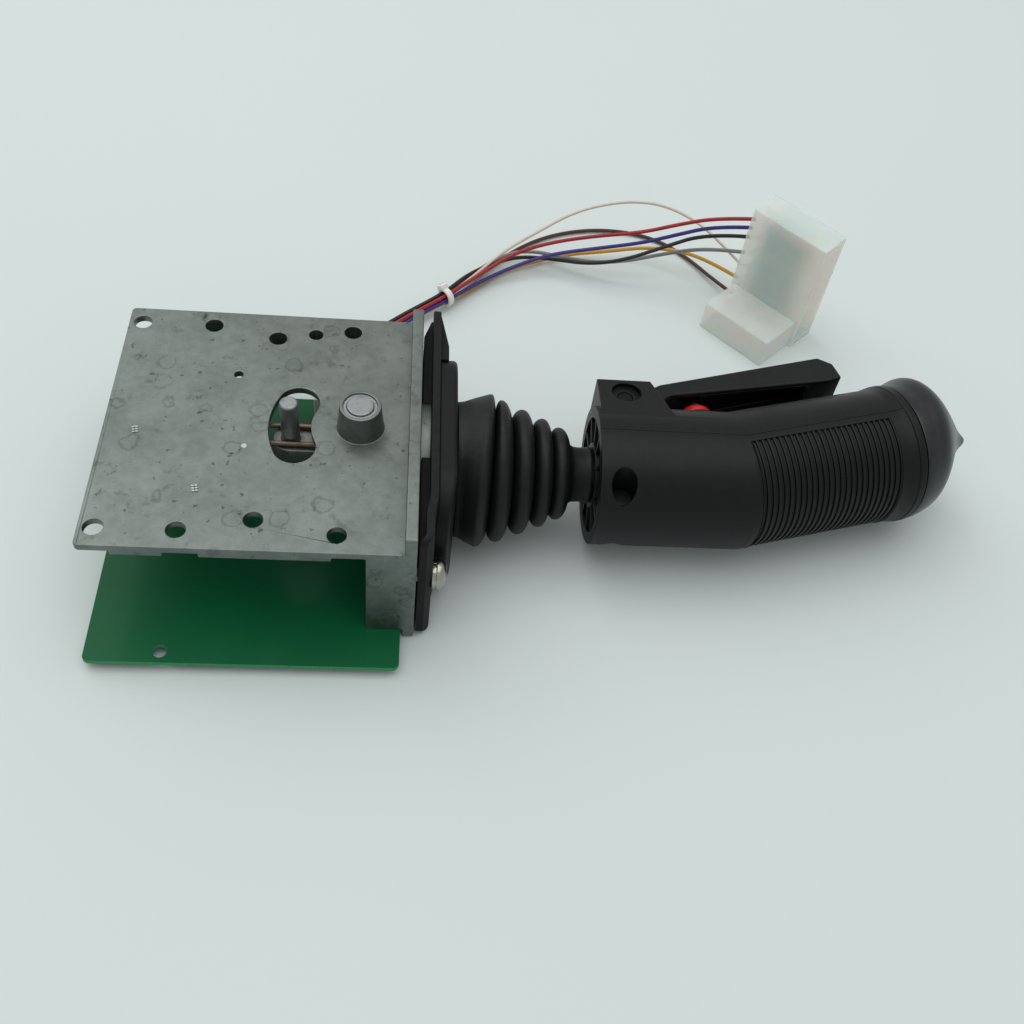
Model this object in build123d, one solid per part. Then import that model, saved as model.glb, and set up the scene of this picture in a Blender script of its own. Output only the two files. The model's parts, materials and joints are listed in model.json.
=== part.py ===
from build123d import *
import math
import os

# An industrial joystick that lies on its side, as it does on a bench: a cast frame with a circuit
# board, a sprung lever on a pivot pin, a rubber boot and a trigger grip, with a wire lead.
# All sizes are in millimetres. The origin is the middle of the end wall's outer face, on the
# lever's axis. X runs from the frame to the grip, Y across the top plate and Z upwards.

# Fits and small gaps
RUN_FIT = 0.05
LOOSE_FIT = 0.2
SOFT_GAP = 0.3
SCREW_FIT = 0.02

# Frame casting
FRAME_LENGTH = 94.0
FRAME_WIDTH = 96.0
PLATE_THICKNESS = 2.5
PLATE_TOP = 18.0
PLATE_CORNER = 1.5
WALL_THICKNESS = 3.5
WALL_HEIGHT = 49.0
COLLAR_RADIUS = 21.0
COLLAR_HEIGHT = 3.2
OPENING_WIDTH = 31.0
OPENING_HEIGHT = 17.0
LEG_LENGTH = 11.0
LEG_DEPTH = 8.0
POST_RADIUS = 4.5
POST_INSET = 10.0
POST_PLACES = (8.0, 38.0)
RIM_HEIGHT = 1.6
RIM_WIDTH = 3.0
RIM_SPANS = ((9.3, 23.7), (33.3, 70.0))
FLOOR = -WALL_HEIGHT / 2
PLATE_UNDER = PLATE_TOP - PLATE_THICKNESS

# Holes in the top plate, each as (distance from the end wall's face, place across)
MOUNT_HOLE_RADIUS = 2.75
MOUNT_ROW = 41.5
MOUNT_COLUMNS = (22.8, 67.2, 89.6)
MIDDLE_HOLE = (46.5, 37.0)
SPARE_HOLE = (34.6, 39.6)
SPARE_HOLE_RADIUS = 2.2
SMALL_HOLE = (57.0, 20.0)
SMALL_HOLE_RADIUS = 1.35
HOLE_BOSS_WALL = 1.8
HOLE_BOSS_DEPTH = 5.0

# Pivot of the lever
PIVOT_X = -18.3
PIN_RADIUS = 4.1
BUSH_WALL = 1.0
BOSS_HEIGHT = 9.5
BOSS_TOP_WALL = 1.1
BOSS_DRAFT = 0.9
BOSS_RECESS = 0.5
SLEEVE_WALL = 1.5
SLEEVE_DROP = 3.2
LOWER_LUG_TOP = -11.5
LOWER_LUG_THICKNESS = 4.0
LOWER_LUG_WIDTH = 16.0
LOWER_LUG_REACH = 10.0
BOSS_TOP = PLATE_TOP + BOSS_HEIGHT
BUSH_OUTER = PIN_RADIUS + RUN_FIT + BUSH_WALL

# Kidney slot and centring post
POST_SWING_RADIUS = 21.2
SLOT_HALF_WIDTH = 6.3
SLOT_HALF_ANGLE = 25.0
CENTRING_POST_RADIUS = 2.8
ARM_THICKNESS = 5.5
ARM_HALF_WIDTH = 5.5
ARM_TOP = 12.0
HUB_RADIUS = 9.5
HUB_BLOCK_LENGTH = 14.0
HUB_BLOCK_HALF = 7.5
SPRING_WIRE = 1.6
SPRING_LOOP_RADIUS = 8.6
SPRING_OVERHANG = 14.5
STOP_PEG_GAP = 10.5
SPRING_LEVEL = ARM_TOP + SPRING_WIRE / 2 + SOFT_GAP
SPRING_LEG_PLACE = CENTRING_POST_RADIUS + SPRING_WIRE / 2 + RUN_FIT
POST_X = PIVOT_X - POST_SWING_RADIUS

# Lever shaft
SHAFT_RADIUS = 6.0
SHAFT_END = 79.0
SHAFT_START = PIVOT_X + PIN_RADIUS + 2.0

# Pivot pin's lower end
CLIP_THICKNESS = 0.8
CLIP_RADIUS = 6.2
CLIP_GROOVE = 0.6
MAGNET_RADIUS = 3.0
MAGNET_HEIGHT = 1.4
WASHER_THICKNESS = 0.8
PIN_TAIL = 0.4

# Circuit board and its fasteners
BOARD_THICKNESS = 1.6
BOARD_OVERHANG_LEFT = 2.0
BOARD_FRONT = -61.7
BOARD_BACK = 47.0
BOARD_WALL_GAP = 0.5
BOARD_CORNER = 2.0
BOARD_SCREW_RADIUS = 1.5
BOARD_SCREW_LENGTH = 7.0
BOARD_HEAD_RADIUS = 3.2
BOARD_HEAD_HEIGHT = 2.3
BOARD_WASHER_RADIUS = 3.9
BOARD_WASHER_THICKNESS = 0.6
TEST_HOLE = (74.2, -57.8)
TEST_HOLE_RADIUS = 2.1
BOARD_BOTTOM = FLOOR + BOARD_HEAD_HEIGHT + BOARD_WASHER_THICKNESS
BOARD_TOP = BOARD_BOTTOM + BOARD_THICKNESS
BOARD_LEFT = -(FRAME_LENGTH + BOARD_OVERHANG_LEFT)
BOARD_RIGHT = -(WALL_THICKNESS + BOARD_WALL_GAP)
POST_X_PLACE = POST_INSET - FRAME_LENGTH

# Parts on the board
SENSOR_SIZE = 12.0
SENSOR_HEIGHT = 1.2
CHIP_LENGTH = 10.0
CHIP_WIDTH = 6.0
CHIP_HEIGHT = 1.8
CHIP_PLACES = ((46.0, 4.0), (62.0, 4.0), (46.0, 20.0))
CAPACITOR_RADIUS = 3.1
CAPACITOR_HEIGHT = 8.0
CAPACITOR_PLACES = ((64.0, 22.0), (72.0, 22.0), (64.0, 34.0))
DIODE_LENGTH = 4.4
DIODE_WIDTH = 2.6
DIODE_HEIGHT = 2.0
DIODE_PLACES = ((78.0, -2.0), (78.0, 4.0), (30.0, 24.0), (38.0, 28.0))
HEADER_MIDDLE_X = -26.5
HEADER_WIDTH = 20.0
HEADER_DEPTH = 7.0
HEADER_HEIGHT = 8.0
HEADER_FRONT = 39.0
HEADER_PITCH = 2.5
HEADER_WIRE_HEIGHT = 4.0

# Seal, bezel and screws on the end wall
SEAL_THICKNESS = 2.5
SEAL_INSET = 0.8
SEAL_CORNER = 2.5
SCREW_DRAW = 1.0
SEAL_BEND = (
    (-29.0, 0.0),
    (-31.0, 0.1),
    (-33.0, 0.45),
    (-35.0, 0.8),
    (-36.6, SCREW_DRAW),
    (-47.2, SCREW_DRAW),
)
BEZEL_LENGTH = 71.0
BEZEL_HEIGHT = 45.0
BEZEL_THICKNESS = 5.5
BEZEL_CORNER = 16.0
BEZEL_BORE = 19.0
BEZEL_EDGE = 1.4
PANEL_SCREW_PLACE = 41.0
PANEL_SCREW_RADIUS = 2.5
PANEL_HEAD_RADIUS = 4.7
PANEL_HEAD_HEIGHT = 3.2
PANEL_HEAD_ROUND = 1.5
LOCK_WASHER_RADIUS = 4.4
LOCK_WASHER_THICKNESS = 1.3
LOCK_WASHER_SLIT = 1.2
SCREW_BOSS_RADIUS = 5.0
SCREW_BOSS_DEPTH = 4.5
SEAL_FACE = COLLAR_HEIGHT
BEZEL_FACE = SEAL_FACE + SEAL_THICKNESS
BOOT_FACE = BEZEL_FACE + BEZEL_THICKNESS

# Boot: each fold as (place of its crest, crest radius, place of its valley, valley radius)
BOOT_WALL = 1.6
BOOT_BASE_RADIUS = 21.5
BOOT_CREST = 1.5
BOOT_FOLDS = (
    (19.3, 24.3, 14.0, BOOT_BASE_RADIUS),
    (25.2, 22.9, 22.4, 17.8),
    (32.2, 20.2, 28.8, 15.4),
    (38.8, 17.6, 35.6, 13.4),
    (44.2, 15.0, 41.6, 11.6),
)
BOOT_NECK_RADIUS = 8.7
BOOT_NECK_START = 47.6
HANDLE_GAP = 0.3

# Handle
HANDLE_START = 55.0
BEND_X = 101.4
GRIP_TILT = 15.0
HANDLE_RADIUS = 22.3
SHELL_WALL = 2.6
SHELL_LENGTH = 55.5
FLARE_LENGTH = 3.5
FLARE_RISE = 0.7
END_WALL = 3.0
END_RECESS = 1.2
END_RECESS_RADIUS = 18.5
END_HUB_RADIUS = 10.5
CORE_START = HANDLE_START + END_WALL + LOOSE_FIT
CORE_END = 80.0
CORE_BACK = 8.6
CORE_GAP = 0.2
SHELF_LENGTH = 24.0
SHELF_HALF_HEIGHT = 9.0
RIB_COUNT = 25
RIB_PITCH = 1.98
RIB_WIDTH = 0.9
RIB_DEPTH = 0.8
RIB_BED_DEPTH = 0.15
RIB_BED_MARGIN = 0.5
RIB_SEAM_GAP = 2.6
FIRST_RIB = 0.6
CROSS_PIN_X = 72.0
CROSS_PIN_RADIUS = 1.5
CROSS_PIN_LENGTH = 30.0
INNER_RADIUS = HANDLE_RADIUS - SHELL_WALL

# Screws of the core and of the shells
CORE_SCREW_PLACE = (62.3, -16.2)
CORE_SCREW_WELL = 3.9
CORE_SCREW_FLOOR = 6.5
CORE_SCREW_FLOOR_THICKNESS = 2.0
CORE_SCREW_RADIUS = 1.5
CORE_SCREW_REACH = 5.5
CORE_HEAD_RADIUS = 3.3
CORE_HEAD_HEIGHT = 2.6
WELL_WALL = 1.5
SHELL_SCREW_PLACES = (10.0, 36.0)
SHELL_SCREW_RADIUS = 1.3
SHELL_HEAD_RADIUS = 2.7
SHELL_HEAD_HEIGHT = 2.0
SHELL_HEAD_FLOOR = 15.0
SHELL_SCREW_REACH = 12.0
PILLAR_RADIUS = 4.2

# Lug and trigger
LUG_BACK = 26.0
LUG_DROP = 4.6
LUG_END_TOP = 74.2
LUG_END_SEAM = 82.5
LUG_START = HANDLE_START + 1.5
TRIGGER_PIVOT = (65.5, 19.5)
TRIGGER_PIN_RADIUS = 2.5
TRIGGER_HALF_WIDTH = 9.0
TRIGGER_WALL = 2.2
TRIGGER_EYE_RADIUS = 5.0
TRIGGER_SIDE_GAP = 0.5
TRIGGER_WEB_START = (80.0, 33.8)
TRIGGER_WEB_END = (138.0, 50.9)
TRIGGER_TIP = (145.1, 41.6)
TRIGGER_EDGE_END = (139.5, 39.4)
TRIGGER_EDGE_START = (83.0, 28.6)
TRIGGER_END_BLOCK = 7.0
SLOT_FRONT = 9.0
SLOT_END = 78.0
PIN_WELL_RADIUS = 4.8
PIN_WELL_DEPTH = 6.0
SPRING_COIL_GAP = 0.4
SPRING_COIL_WIRE = 1.3
SPRING_COIL_LENGTH = 8.0

# Red button and the switch behind it
BUTTON_X = 93.2
BUTTON_RADIUS = 5.6
BUTTON_SIDE_GAP = 0.15
BUTTON_TIP = 30.9
BUTTON_DOME = 2.6
BUTTON_FLANGE_RADIUS = 6.8
BUTTON_FLANGE_TOP = 18.0
BUTTON_FLANGE_THICKNESS = 1.4
BUTTON_STEM_RADIUS = 2.2
BUTTON_GUARD_WALL = 1.9
BUTTON_GUARD_TOP = 24.6
NUB_RADIUS = 3.0
NUB_GAP = 0.1
SWITCH_LENGTH = 19.0
SWITCH_HALF_WIDTH = 4.8
SWITCH_TOP = 13.0
SWITCH_WELL_DEPTH = 3.4
STEM_TIP = 12.4

# Collar, rubber cap and thumb rocker at the end of the grip, placed along the grip's axis.
# Each ring of the cap as (place, radius, shift to the trigger's side, shift up)
COLLAR_RING_RADIUS = 23.1
COLLAR_RING_LENGTH = 3.0
COLLAR_EDGE = 0.5
COLLAR_BORE = 16.5
COLLAR_SPIGOT = 4.0
COLLAR_SPIGOT_GAP = 0.15
COLLAR_WEB = 2.0
CAP_WALL = 1.8
CAP_ROOM = 0.5
CAP_RINGS = (
    (3.0, 22.9, 0.2, 0.0), (5.5, 22.9, 1.0, 0.0), (8.0, 23.0, 1.9, 0.2), (10.5, 22.3, 2.6, 0.5),
    (13.0, 20.3, 3.1, 0.9), (16.0, 16.9, 3.3, 1.3), (19.5, 12.4, 2.9, 1.5), (22.5, 8.6, 2.1, 1.3),
    (25.3, 5.3, 1.2, 0.7), (27.1, 3.5, 0.6, 0.3), (28.9, 2.1, 0.1, 0.0), (30.1, 0.9, 0.0, 0.0),
)
CAP_HOLLOW_RINGS = (2, 9)
ROCKER_SWITCH_DEPTH = 10.0
ROCKER_SWITCH_WIDTH = 18.0
ROCKER_SWITCH_HEIGHT = 14.0
ROCKER_FLANGE = 1.5
ROCKER_EAR_THICKNESS = 2.0
ROCKER_EAR_HEIGHT = 8.0
ROCKER_EAR_DEPTH = 8.0
ROCKER_PIN_RADIUS = 1.2
ROCKER_PIVOT_HEIGHT = 5.0
ROCKER_HALF_HEIGHT = 8.0
ROCKER_LENGTH = 12.0
SHELL_END = SHELL_LENGTH
CAP_START = SHELL_END + COLLAR_RING_LENGTH
ROCKER_BASE = SHELL_END + COLLAR_WEB + ROCKER_FLANGE
ROCKER_PIVOT = ROCKER_BASE + ROCKER_PIVOT_HEIGHT

# Wire lead. The wires leave the header side by side, close up into a bundle at the tie, and then
# lie loose to the connector. Each bundle place is a point, a heading and how far the bundle is open.
WIRE_RADIUS = 0.75
THIN_WIRE_RADIUS = 0.6
THIN_WIRES = ("wire_white",)
TIE_WIDTH = 2.4
TIE_THICKNESS = 1.1
TIE_GAP = 0.3
BUNDLE_PITCH = 1.7
FAN_PITCH = 2.2
FAN_RISE = 0.8
ARC_SHARE = 0.45
FAN_PLACE = (-26.5, 60.0, -17.5)
BUNDLE_PLACES = (
    ((-22.0, 76.0, -20.5), 61.0, 1.25),
    ((-8.5, 90.6, -20.6), 45.0, 1.0),
    ((9.1, 104.9, -19.8), 41.0, 1.0),
)

# Each wire's slot in the header, and its place across and up in the bundle
WIRE_SLOTS = {
    "wire_grey": (0, 2, 0),
    "wire_brown": (1, 1, -1),
    "wire_black": (2, 1, 1),
    "wire_red": (4, -1, 1),
    "wire_white": (3, 0, 0),
    "wire_yellow": (5, -1, -1),
    "wire_blue": (6, -2, 0),
}

# Each wire's points from the tie to the connector, and the height at which it enters there
WIRE_LAY = {
    "wire_red": (
        (23.2, 118.6, -18.2), (35.4, 128.0, -15.5), (50.3, 131.5, -11.5), (67.9, 131.5, -7.0),
        (85.4, 129.5, -2.5), (98.5, 128.0, 3.5), (112.2, 124.4, 10.6),
    ),
    "wire_blue": (
        (23.7, 117.2, -20.8), (36.2, 124.6, -19.0), (50.4, 129.0, -15.5), (68.0, 128.9, -11.2),
        (85.7, 128.1, -6.6), (98.5, 126.8, -0.6), (112.3, 124.2, 6.8),
    ),
    "wire_black": (
        (17.6, 118.2, -19.0), (29.4, 127.4, -19.6), (39.8, 132.4, -20.0), (52.8, 129.9, -18.6),
        (66.0, 124.1, -15.3), (79.3, 121.9, -10.5), (93.6, 124.1, -5.0), (110.2, 125.5, 2.1),
    ),
    "wire_grey": (
        (19.5, 121.5, -21.3), (33.7, 135.1, -21.1), (44.8, 137.3, -20.8), (57.6, 132.2, -19.5),
        (70.0, 128.6, -18.0), (82.4, 127.3, -15.0), (96.4, 128.1, -11.0), (112.2, 126.0, -5.2),
    ),
    "wire_white": (
        (20.5, 118.5, -19.5), (32.2, 128.4, -14.2), (45.4, 133.7, -8.0), (57.5, 139.1, -2.9),
        (69.3, 141.4, 0.6), (82.5, 143.1, 2.3), (95.5, 142.2, 2.0), (108.6, 136.5, -0.6),
        (117.4, 127.6, -3.4),
    ),
    "wire_yellow": (
        (19.5, 114.2, -23.4), (29.3, 124.6, -23.3), (42.9, 132.1, -23.0), (58.3, 138.4, -22.6),
        (74.8, 139.8, -21.0), (90.9, 141.0, -18.5), (104.9, 137.0, -16.0), (116.0, 128.4, -13.9),
    ),
    "wire_brown": (
        (20.0, 121.5, -23.4), (32.0, 135.0, -23.4), (45.5, 147.0, -23.4), (59.5, 154.0, -23.4),
        (74.5, 157.2, -23.4), (89.5, 156.0, -23.4), (101.5, 150.5, -23.4), (111.5, 140.0, -23.3),
        (118.6, 128.2, -22.4),
    ),
}
ENTRY_HEIGHTS = {
    "wire_red": 16.1,
    "wire_blue": 12.1,
    "wire_black": 7.7,
    "wire_grey": 0.2,
    "wire_white": -5.7,
    "wire_yellow": -12.2,
    "wire_brown": -20.5,
}

# Connector, which stands on the bench. Its own frame has X into its mouth and Y away from the wires
CONNECTOR_CORNER = (122.4, 115.4)
CONNECTOR_TURN = -46.2
CONNECTOR_LENGTH = 33.0
CONNECTOR_DEPTH = 14.0
CONNECTOR_HEIGHT = 47.0
CONNECTOR_WALL = 1.4
CONNECTOR_END_WALL = 8.0
CONNECTOR_EDGE = 0.5
LEDGE_DEPTH = 18.5
LEDGE_HEIGHT = 12.0
LEDGE_INSET = 1.5
ENTRY_PLACE = 3.3
TERMINAL_LENGTH = 16.0
TERMINAL_SIZE = 2.6


# Plain solids, each given by its two ends along an axis


def block(x, y, z):
    """A box from its lowest and highest X, Y and Z."""
    middle = Pos((x[0] + x[1]) / 2, (y[0] + y[1]) / 2, (z[0] + z[1]) / 2)
    return middle * Box(x[1] - x[0], y[1] - y[0], z[1] - z[0])


def rod_x(radius, x, y=0.0, z=0.0):
    """A cylinder along X."""
    return Pos((x[0] + x[1]) / 2, y, z) * Rot(0, 90, 0) * Cylinder(radius, x[1] - x[0])


def rod_y(radius, y, x=0.0, z=0.0):
    """A cylinder along Y."""
    return Pos(x, (y[0] + y[1]) / 2, z) * Rot(90, 0, 0) * Cylinder(radius, y[1] - y[0])


def rod_z(radius, z, x=0.0, y=0.0):
    """A cylinder along Z."""
    return Pos(x, y, (z[0] + z[1]) / 2) * Cylinder(radius, z[1] - z[0])


def tube_z(outer, inner, z, x=0.0, y=0.0):
    """A round tube along Z."""
    return rod_z(outer, z, x, y) - rod_z(inner, z, x, y)


def prism(points, z):
    """A prism along Z over an outline in the XY plane."""
    outline = make_face(Polyline(*points, close=True))
    return Pos(0, 0, z[0]) * extrude(outline, z[1] - z[0])


def rounded_plate(width, height, x, corner):
    """A plate across X with rounded corners."""
    outline = Plane.YZ * RectangleRounded(width, height, corner)
    return Pos(x[0], 0, 0) * extrude(outline, x[1] - x[0])


def turned(points):
    """A solid turned about the X axis from an outline of (x, radius) points."""
    outline = make_face(Plane.XY * Polyline(*points, close=True))
    return revolve(outline, Axis.X)


def group(solids):
    """Several separate solids as one piece."""
    return Compound(children=[part.solid() for part in solids])


def mirrored_z(part):
    """The same piece on the other side of the lever's middle plane."""
    return mirror(part, Plane.XY)


def grip(part):
    """Moves a piece from the grip's own frame, with X along the grip, to its place."""
    return Pos(BEND_X, 0, 0) * Rot(0, 0, GRIP_TILT) * part


def grip_point(along, across):
    """A point of the grip's middle plane, from its place along and across the grip."""
    turn = math.radians(GRIP_TILT)
    x = BEND_X + along * math.cos(turn) - across * math.sin(turn)
    return (x, along * math.sin(turn) + across * math.cos(turn))


# Frame


def mount_holes():
    """The places of the holes in the top plate, as (x, y, radius)."""
    places = []
    for column in MOUNT_COLUMNS:
        for side in (-1, 1):
            places.append((-column, side * MOUNT_ROW, MOUNT_HOLE_RADIUS))
    for side in (-1, 1):
        places.append((-MIDDLE_HOLE[0], side * MIDDLE_HOLE[1], MOUNT_HOLE_RADIUS))
    places.append((-SPARE_HOLE[0], SPARE_HOLE[1], SPARE_HOLE_RADIUS))
    return places


def kidney_slot():
    """The curved slot that the centring post swings in."""
    z = (PLATE_UNDER - 1, PLATE_TOP + 1)
    outer = POST_SWING_RADIUS + SLOT_HALF_WIDTH
    inner = POST_SWING_RADIUS - SLOT_HALF_WIDTH
    ring = tube_z(outer, inner, z, PIVOT_X)
    reach = 2 * outer
    turn = math.radians(SLOT_HALF_ANGLE)
    wedge = prism([(0, 0), (-reach, -reach * math.tan(turn)), (-reach, reach * math.tan(turn))], z)
    slot = ring & (Pos(PIVOT_X, 0, 0) * wedge)
    for side in (-1, 1):
        end_x = PIVOT_X - POST_SWING_RADIUS * math.cos(turn)
        end_y = side * POST_SWING_RADIUS * math.sin(turn)
        slot += rod_z(SLOT_HALF_WIDTH, z, end_x, end_y)
    return slot


def pivot_boss():
    """The tapered boss on the plate that holds the upper bush."""
    top = BUSH_OUTER + BOSS_TOP_WALL
    cone = Cone(top + BOSS_DRAFT, top, BOSS_HEIGHT)
    boss = Pos(PIVOT_X, 0, PLATE_TOP + BOSS_HEIGHT / 2) * cone
    sleeve = rod_z(BUSH_OUTER + SLEEVE_WALL, (PLATE_UNDER - SLEEVE_DROP + SOFT_GAP, PLATE_UNDER), PIVOT_X)
    return boss + sleeve


def frame_casting():
    """The casting: top plate, end wall, legs, bosses and the lower bearing lug."""
    half = FRAME_WIDTH / 2
    plate = block((-FRAME_LENGTH, 0), (-half, half), (PLATE_UNDER, PLATE_TOP))
    plate = fillet(plate.edges().filter_by(Axis.Z).group_by(Axis.X)[0], PLATE_CORNER)
    casting = plate + rounded_plate(FRAME_WIDTH, WALL_HEIGHT, (-WALL_THICKNESS, 0), PLATE_CORNER)
    casting += rod_x(COLLAR_RADIUS, (0, COLLAR_HEIGHT))
    for side in (-1, 1):
        leg_y = sorted((side * half, side * (half - LEG_DEPTH)))
        casting += block((-WALL_THICKNESS - LEG_LENGTH, -WALL_THICKNESS), leg_y, (BOARD_TOP, PLATE_UNDER))
        rim_y = sorted((side * half, side * (half - RIM_WIDTH)))
        for start, end in RIM_SPANS:
            rim_x = (start - FRAME_LENGTH, end - FRAME_LENGTH)
            casting += block(rim_x, rim_y, (PLATE_UNDER - RIM_HEIGHT, PLATE_UNDER))
        boss_x = (-WALL_THICKNESS - SCREW_BOSS_DEPTH, -WALL_THICKNESS)
        casting += rod_x(SCREW_BOSS_RADIUS, boss_x, side * PANEL_SCREW_PLACE)
    for place in POST_PLACES:
        casting += rod_z(POST_RADIUS, (BOARD_TOP, PLATE_UNDER), POST_X_PLACE, place)
    casting += pivot_boss()
    lug_half = LOWER_LUG_WIDTH / 2
    lug_z = (LOWER_LUG_TOP - LOWER_LUG_THICKNESS, LOWER_LUG_TOP)
    casting += block((PIVOT_X, -WALL_THICKNESS), (-lug_half, lug_half), lug_z)
    casting += rod_z(LOWER_LUG_REACH, lug_z, PIVOT_X)
    stop_x = POST_X - STOP_PEG_GAP
    casting += rod_z(CENTRING_POST_RADIUS, (ARM_TOP - SOFT_GAP, PLATE_UNDER), stop_x)
    for x, y, radius in mount_holes():
        if y > 0 and x > -MOUNT_COLUMNS[-1]:
            casting += rod_z(radius + HOLE_BOSS_WALL, (PLATE_UNDER - HOLE_BOSS_DEPTH, PLATE_UNDER), x, y)
    casting -= kidney_slot()
    for x, y, radius in mount_holes():
        casting -= rod_z(radius, (PLATE_UNDER - HOLE_BOSS_DEPTH - 1, PLATE_TOP + 1), x, y)
    casting -= rod_z(SMALL_HOLE_RADIUS, (PLATE_UNDER - 1, PLATE_TOP + 1), -SMALL_HOLE[0], SMALL_HOLE[1])
    casting -= rod_z(BUSH_OUTER, (lug_z[0] - 1, BOSS_TOP + 1), PIVOT_X)
    opening = rounded_plate(
        OPENING_WIDTH, OPENING_HEIGHT, (-WALL_THICKNESS - 1, COLLAR_HEIGHT + 1), OPENING_HEIGHT / 2 - 1
    )
    casting -= opening
    for side in (-1, 1):
        thread = (-WALL_THICKNESS - SCREW_BOSS_DEPTH - 1, 1)
        casting -= rod_x(PANEL_SCREW_RADIUS + SCREW_FIT, thread, side * PANEL_SCREW_PLACE)
    thread_z = (BOARD_TOP - 1, BOARD_TOP + BOARD_SCREW_LENGTH)
    for x, y in board_screw_places():
        casting -= rod_z(BOARD_SCREW_RADIUS + SCREW_FIT, thread_z, x, y)
    return casting


def board_screw_places():
    """Where screws hold the board to the legs and posts."""
    leg_x = -WALL_THICKNESS - LEG_LENGTH / 2
    leg_y = FRAME_WIDTH / 2 - LEG_DEPTH / 2
    places = [(leg_x, -leg_y), (leg_x, leg_y)]
    for place in POST_PLACES:
        places.append((POST_X_PLACE, place))
    return places


# Pivot and lever


def upper_bush():
    """The bronze bush in the plate's boss."""
    z = (PLATE_UNDER - SLEEVE_DROP + SOFT_GAP, BOSS_TOP - BOSS_RECESS)
    return tube_z(BUSH_OUTER, PIN_RADIUS + RUN_FIT, z, PIVOT_X)


def lower_bush():
    """The bronze bush in the lower lug."""
    z = (LOWER_LUG_TOP - LOWER_LUG_THICKNESS, LOWER_LUG_TOP)
    return tube_z(BUSH_OUTER, PIN_RADIUS + RUN_FIT, z, PIVOT_X)


def clip_level():
    """The lower face of the retaining clip's groove."""
    return LOWER_LUG_TOP - LOWER_LUG_THICKNESS - LOOSE_FIT - CLIP_THICKNESS


def pin_bottom():
    """The pivot pin's lower end."""
    return clip_level() - PIN_TAIL


def pivot_pin():
    """The steel pin that the lever turns on, grooved for its clip."""
    pin = rod_z(PIN_RADIUS, (pin_bottom(), BOSS_TOP), PIVOT_X)
    groove_z = (clip_level(), clip_level() + CLIP_THICKNESS)
    return pin - tube_z(PIN_RADIUS + 1, PIN_RADIUS - CLIP_GROOVE, groove_z, PIVOT_X)


def pin_clip():
    """The open retaining clip in the pin's groove."""
    z = (clip_level(), clip_level() + CLIP_THICKNESS)
    ring = tube_z(CLIP_RADIUS, PIN_RADIUS - CLIP_GROOVE, z, PIVOT_X)
    mouth = block((PIVOT_X - 2 * CLIP_RADIUS, PIVOT_X), (-PIN_RADIUS / 2, PIN_RADIUS / 2), z)
    return ring - mouth


def thrust_washer():
    """The washer between the hub and the lower lug."""
    z = (LOWER_LUG_TOP, LOWER_LUG_TOP + WASHER_THICKNESS)
    return tube_z(HUB_RADIUS - 1, PIN_RADIUS + RUN_FIT, z, PIVOT_X)


def lever_hub():
    """The lever's hub, with the socket for the shaft and the arm to the centring post."""
    hub_z = (LOWER_LUG_TOP + WASHER_THICKNESS, ARM_TOP)
    hub = rod_z(HUB_RADIUS, hub_z, PIVOT_X)
    block_x = (PIVOT_X, PIVOT_X + HUB_BLOCK_LENGTH)
    socket = block(block_x, (-HUB_BLOCK_HALF, HUB_BLOCK_HALF), (-HUB_BLOCK_HALF, HUB_BLOCK_HALF))
    hub += fillet(socket.edges().filter_by(Axis.X), HUB_BLOCK_HALF / 4)
    arm_z = (ARM_TOP - ARM_THICKNESS, ARM_TOP)
    hub += block((POST_X, PIVOT_X), (-ARM_HALF_WIDTH, ARM_HALF_WIDTH), arm_z)
    hub += rod_z(ARM_HALF_WIDTH, arm_z, POST_X)
    hub -= rod_z(PIN_RADIUS, (hub_z[0] - 1, hub_z[1] + 1), PIVOT_X)
    hub -= rod_x(SHAFT_RADIUS, (SHAFT_START, block_x[1] + 1))
    return hub - rod_z(CENTRING_POST_RADIUS, (arm_z[0], arm_z[1] + 1), POST_X)


def centring_post():
    """The steel post that stands in the slot and works the centring spring."""
    post = rod_z(CENTRING_POST_RADIUS, (ARM_TOP - ARM_THICKNESS, BOSS_TOP), POST_X)
    return chamfer(post.edges().group_by(Axis.Z)[-1], CENTRING_POST_RADIUS / 6)


def centring_spring():
    """The hairpin spring whose legs hold the post against the stop peg."""
    far = POST_X - SPRING_OVERHANG
    waist = PIVOT_X - SPRING_LOOP_RADIUS
    loop = SPRING_LOOP_RADIUS
    leg = SPRING_LEG_PLACE
    corners = (
        (far, leg), (waist, leg), (PIVOT_X - loop / 2, loop), (PIVOT_X + loop, loop),
        (PIVOT_X + loop, -loop), (PIVOT_X - loop / 2, -loop), (waist, -leg), (far, -leg),
    )
    radii = [SPRING_WIRE * factor for factor in (2.0, 2.0, 4.4, 4.4, 2.0, 2.0)]
    path = FilletPolyline(*[(x, y, SPRING_LEVEL) for x, y in corners], radius=radii)
    return sweep(Plane(origin=path @ 0, z_dir=path % 0) * Circle(SPRING_WIRE / 2), path=path)


def lever_shaft():
    """The steel shaft from the hub to the handle's core."""
    shaft = rod_x(SHAFT_RADIUS, (SHAFT_START, SHAFT_END))
    return shaft - rod_z(CROSS_PIN_RADIUS, (-SHAFT_RADIUS - 1, SHAFT_RADIUS + 1), CROSS_PIN_X)


def sensor_magnet():
    """The magnet on the pin's lower end, read by the sensor on the board."""
    return rod_z(MAGNET_RADIUS, (pin_bottom() - MAGNET_HEIGHT, pin_bottom()), PIVOT_X)


# Circuit board


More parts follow.
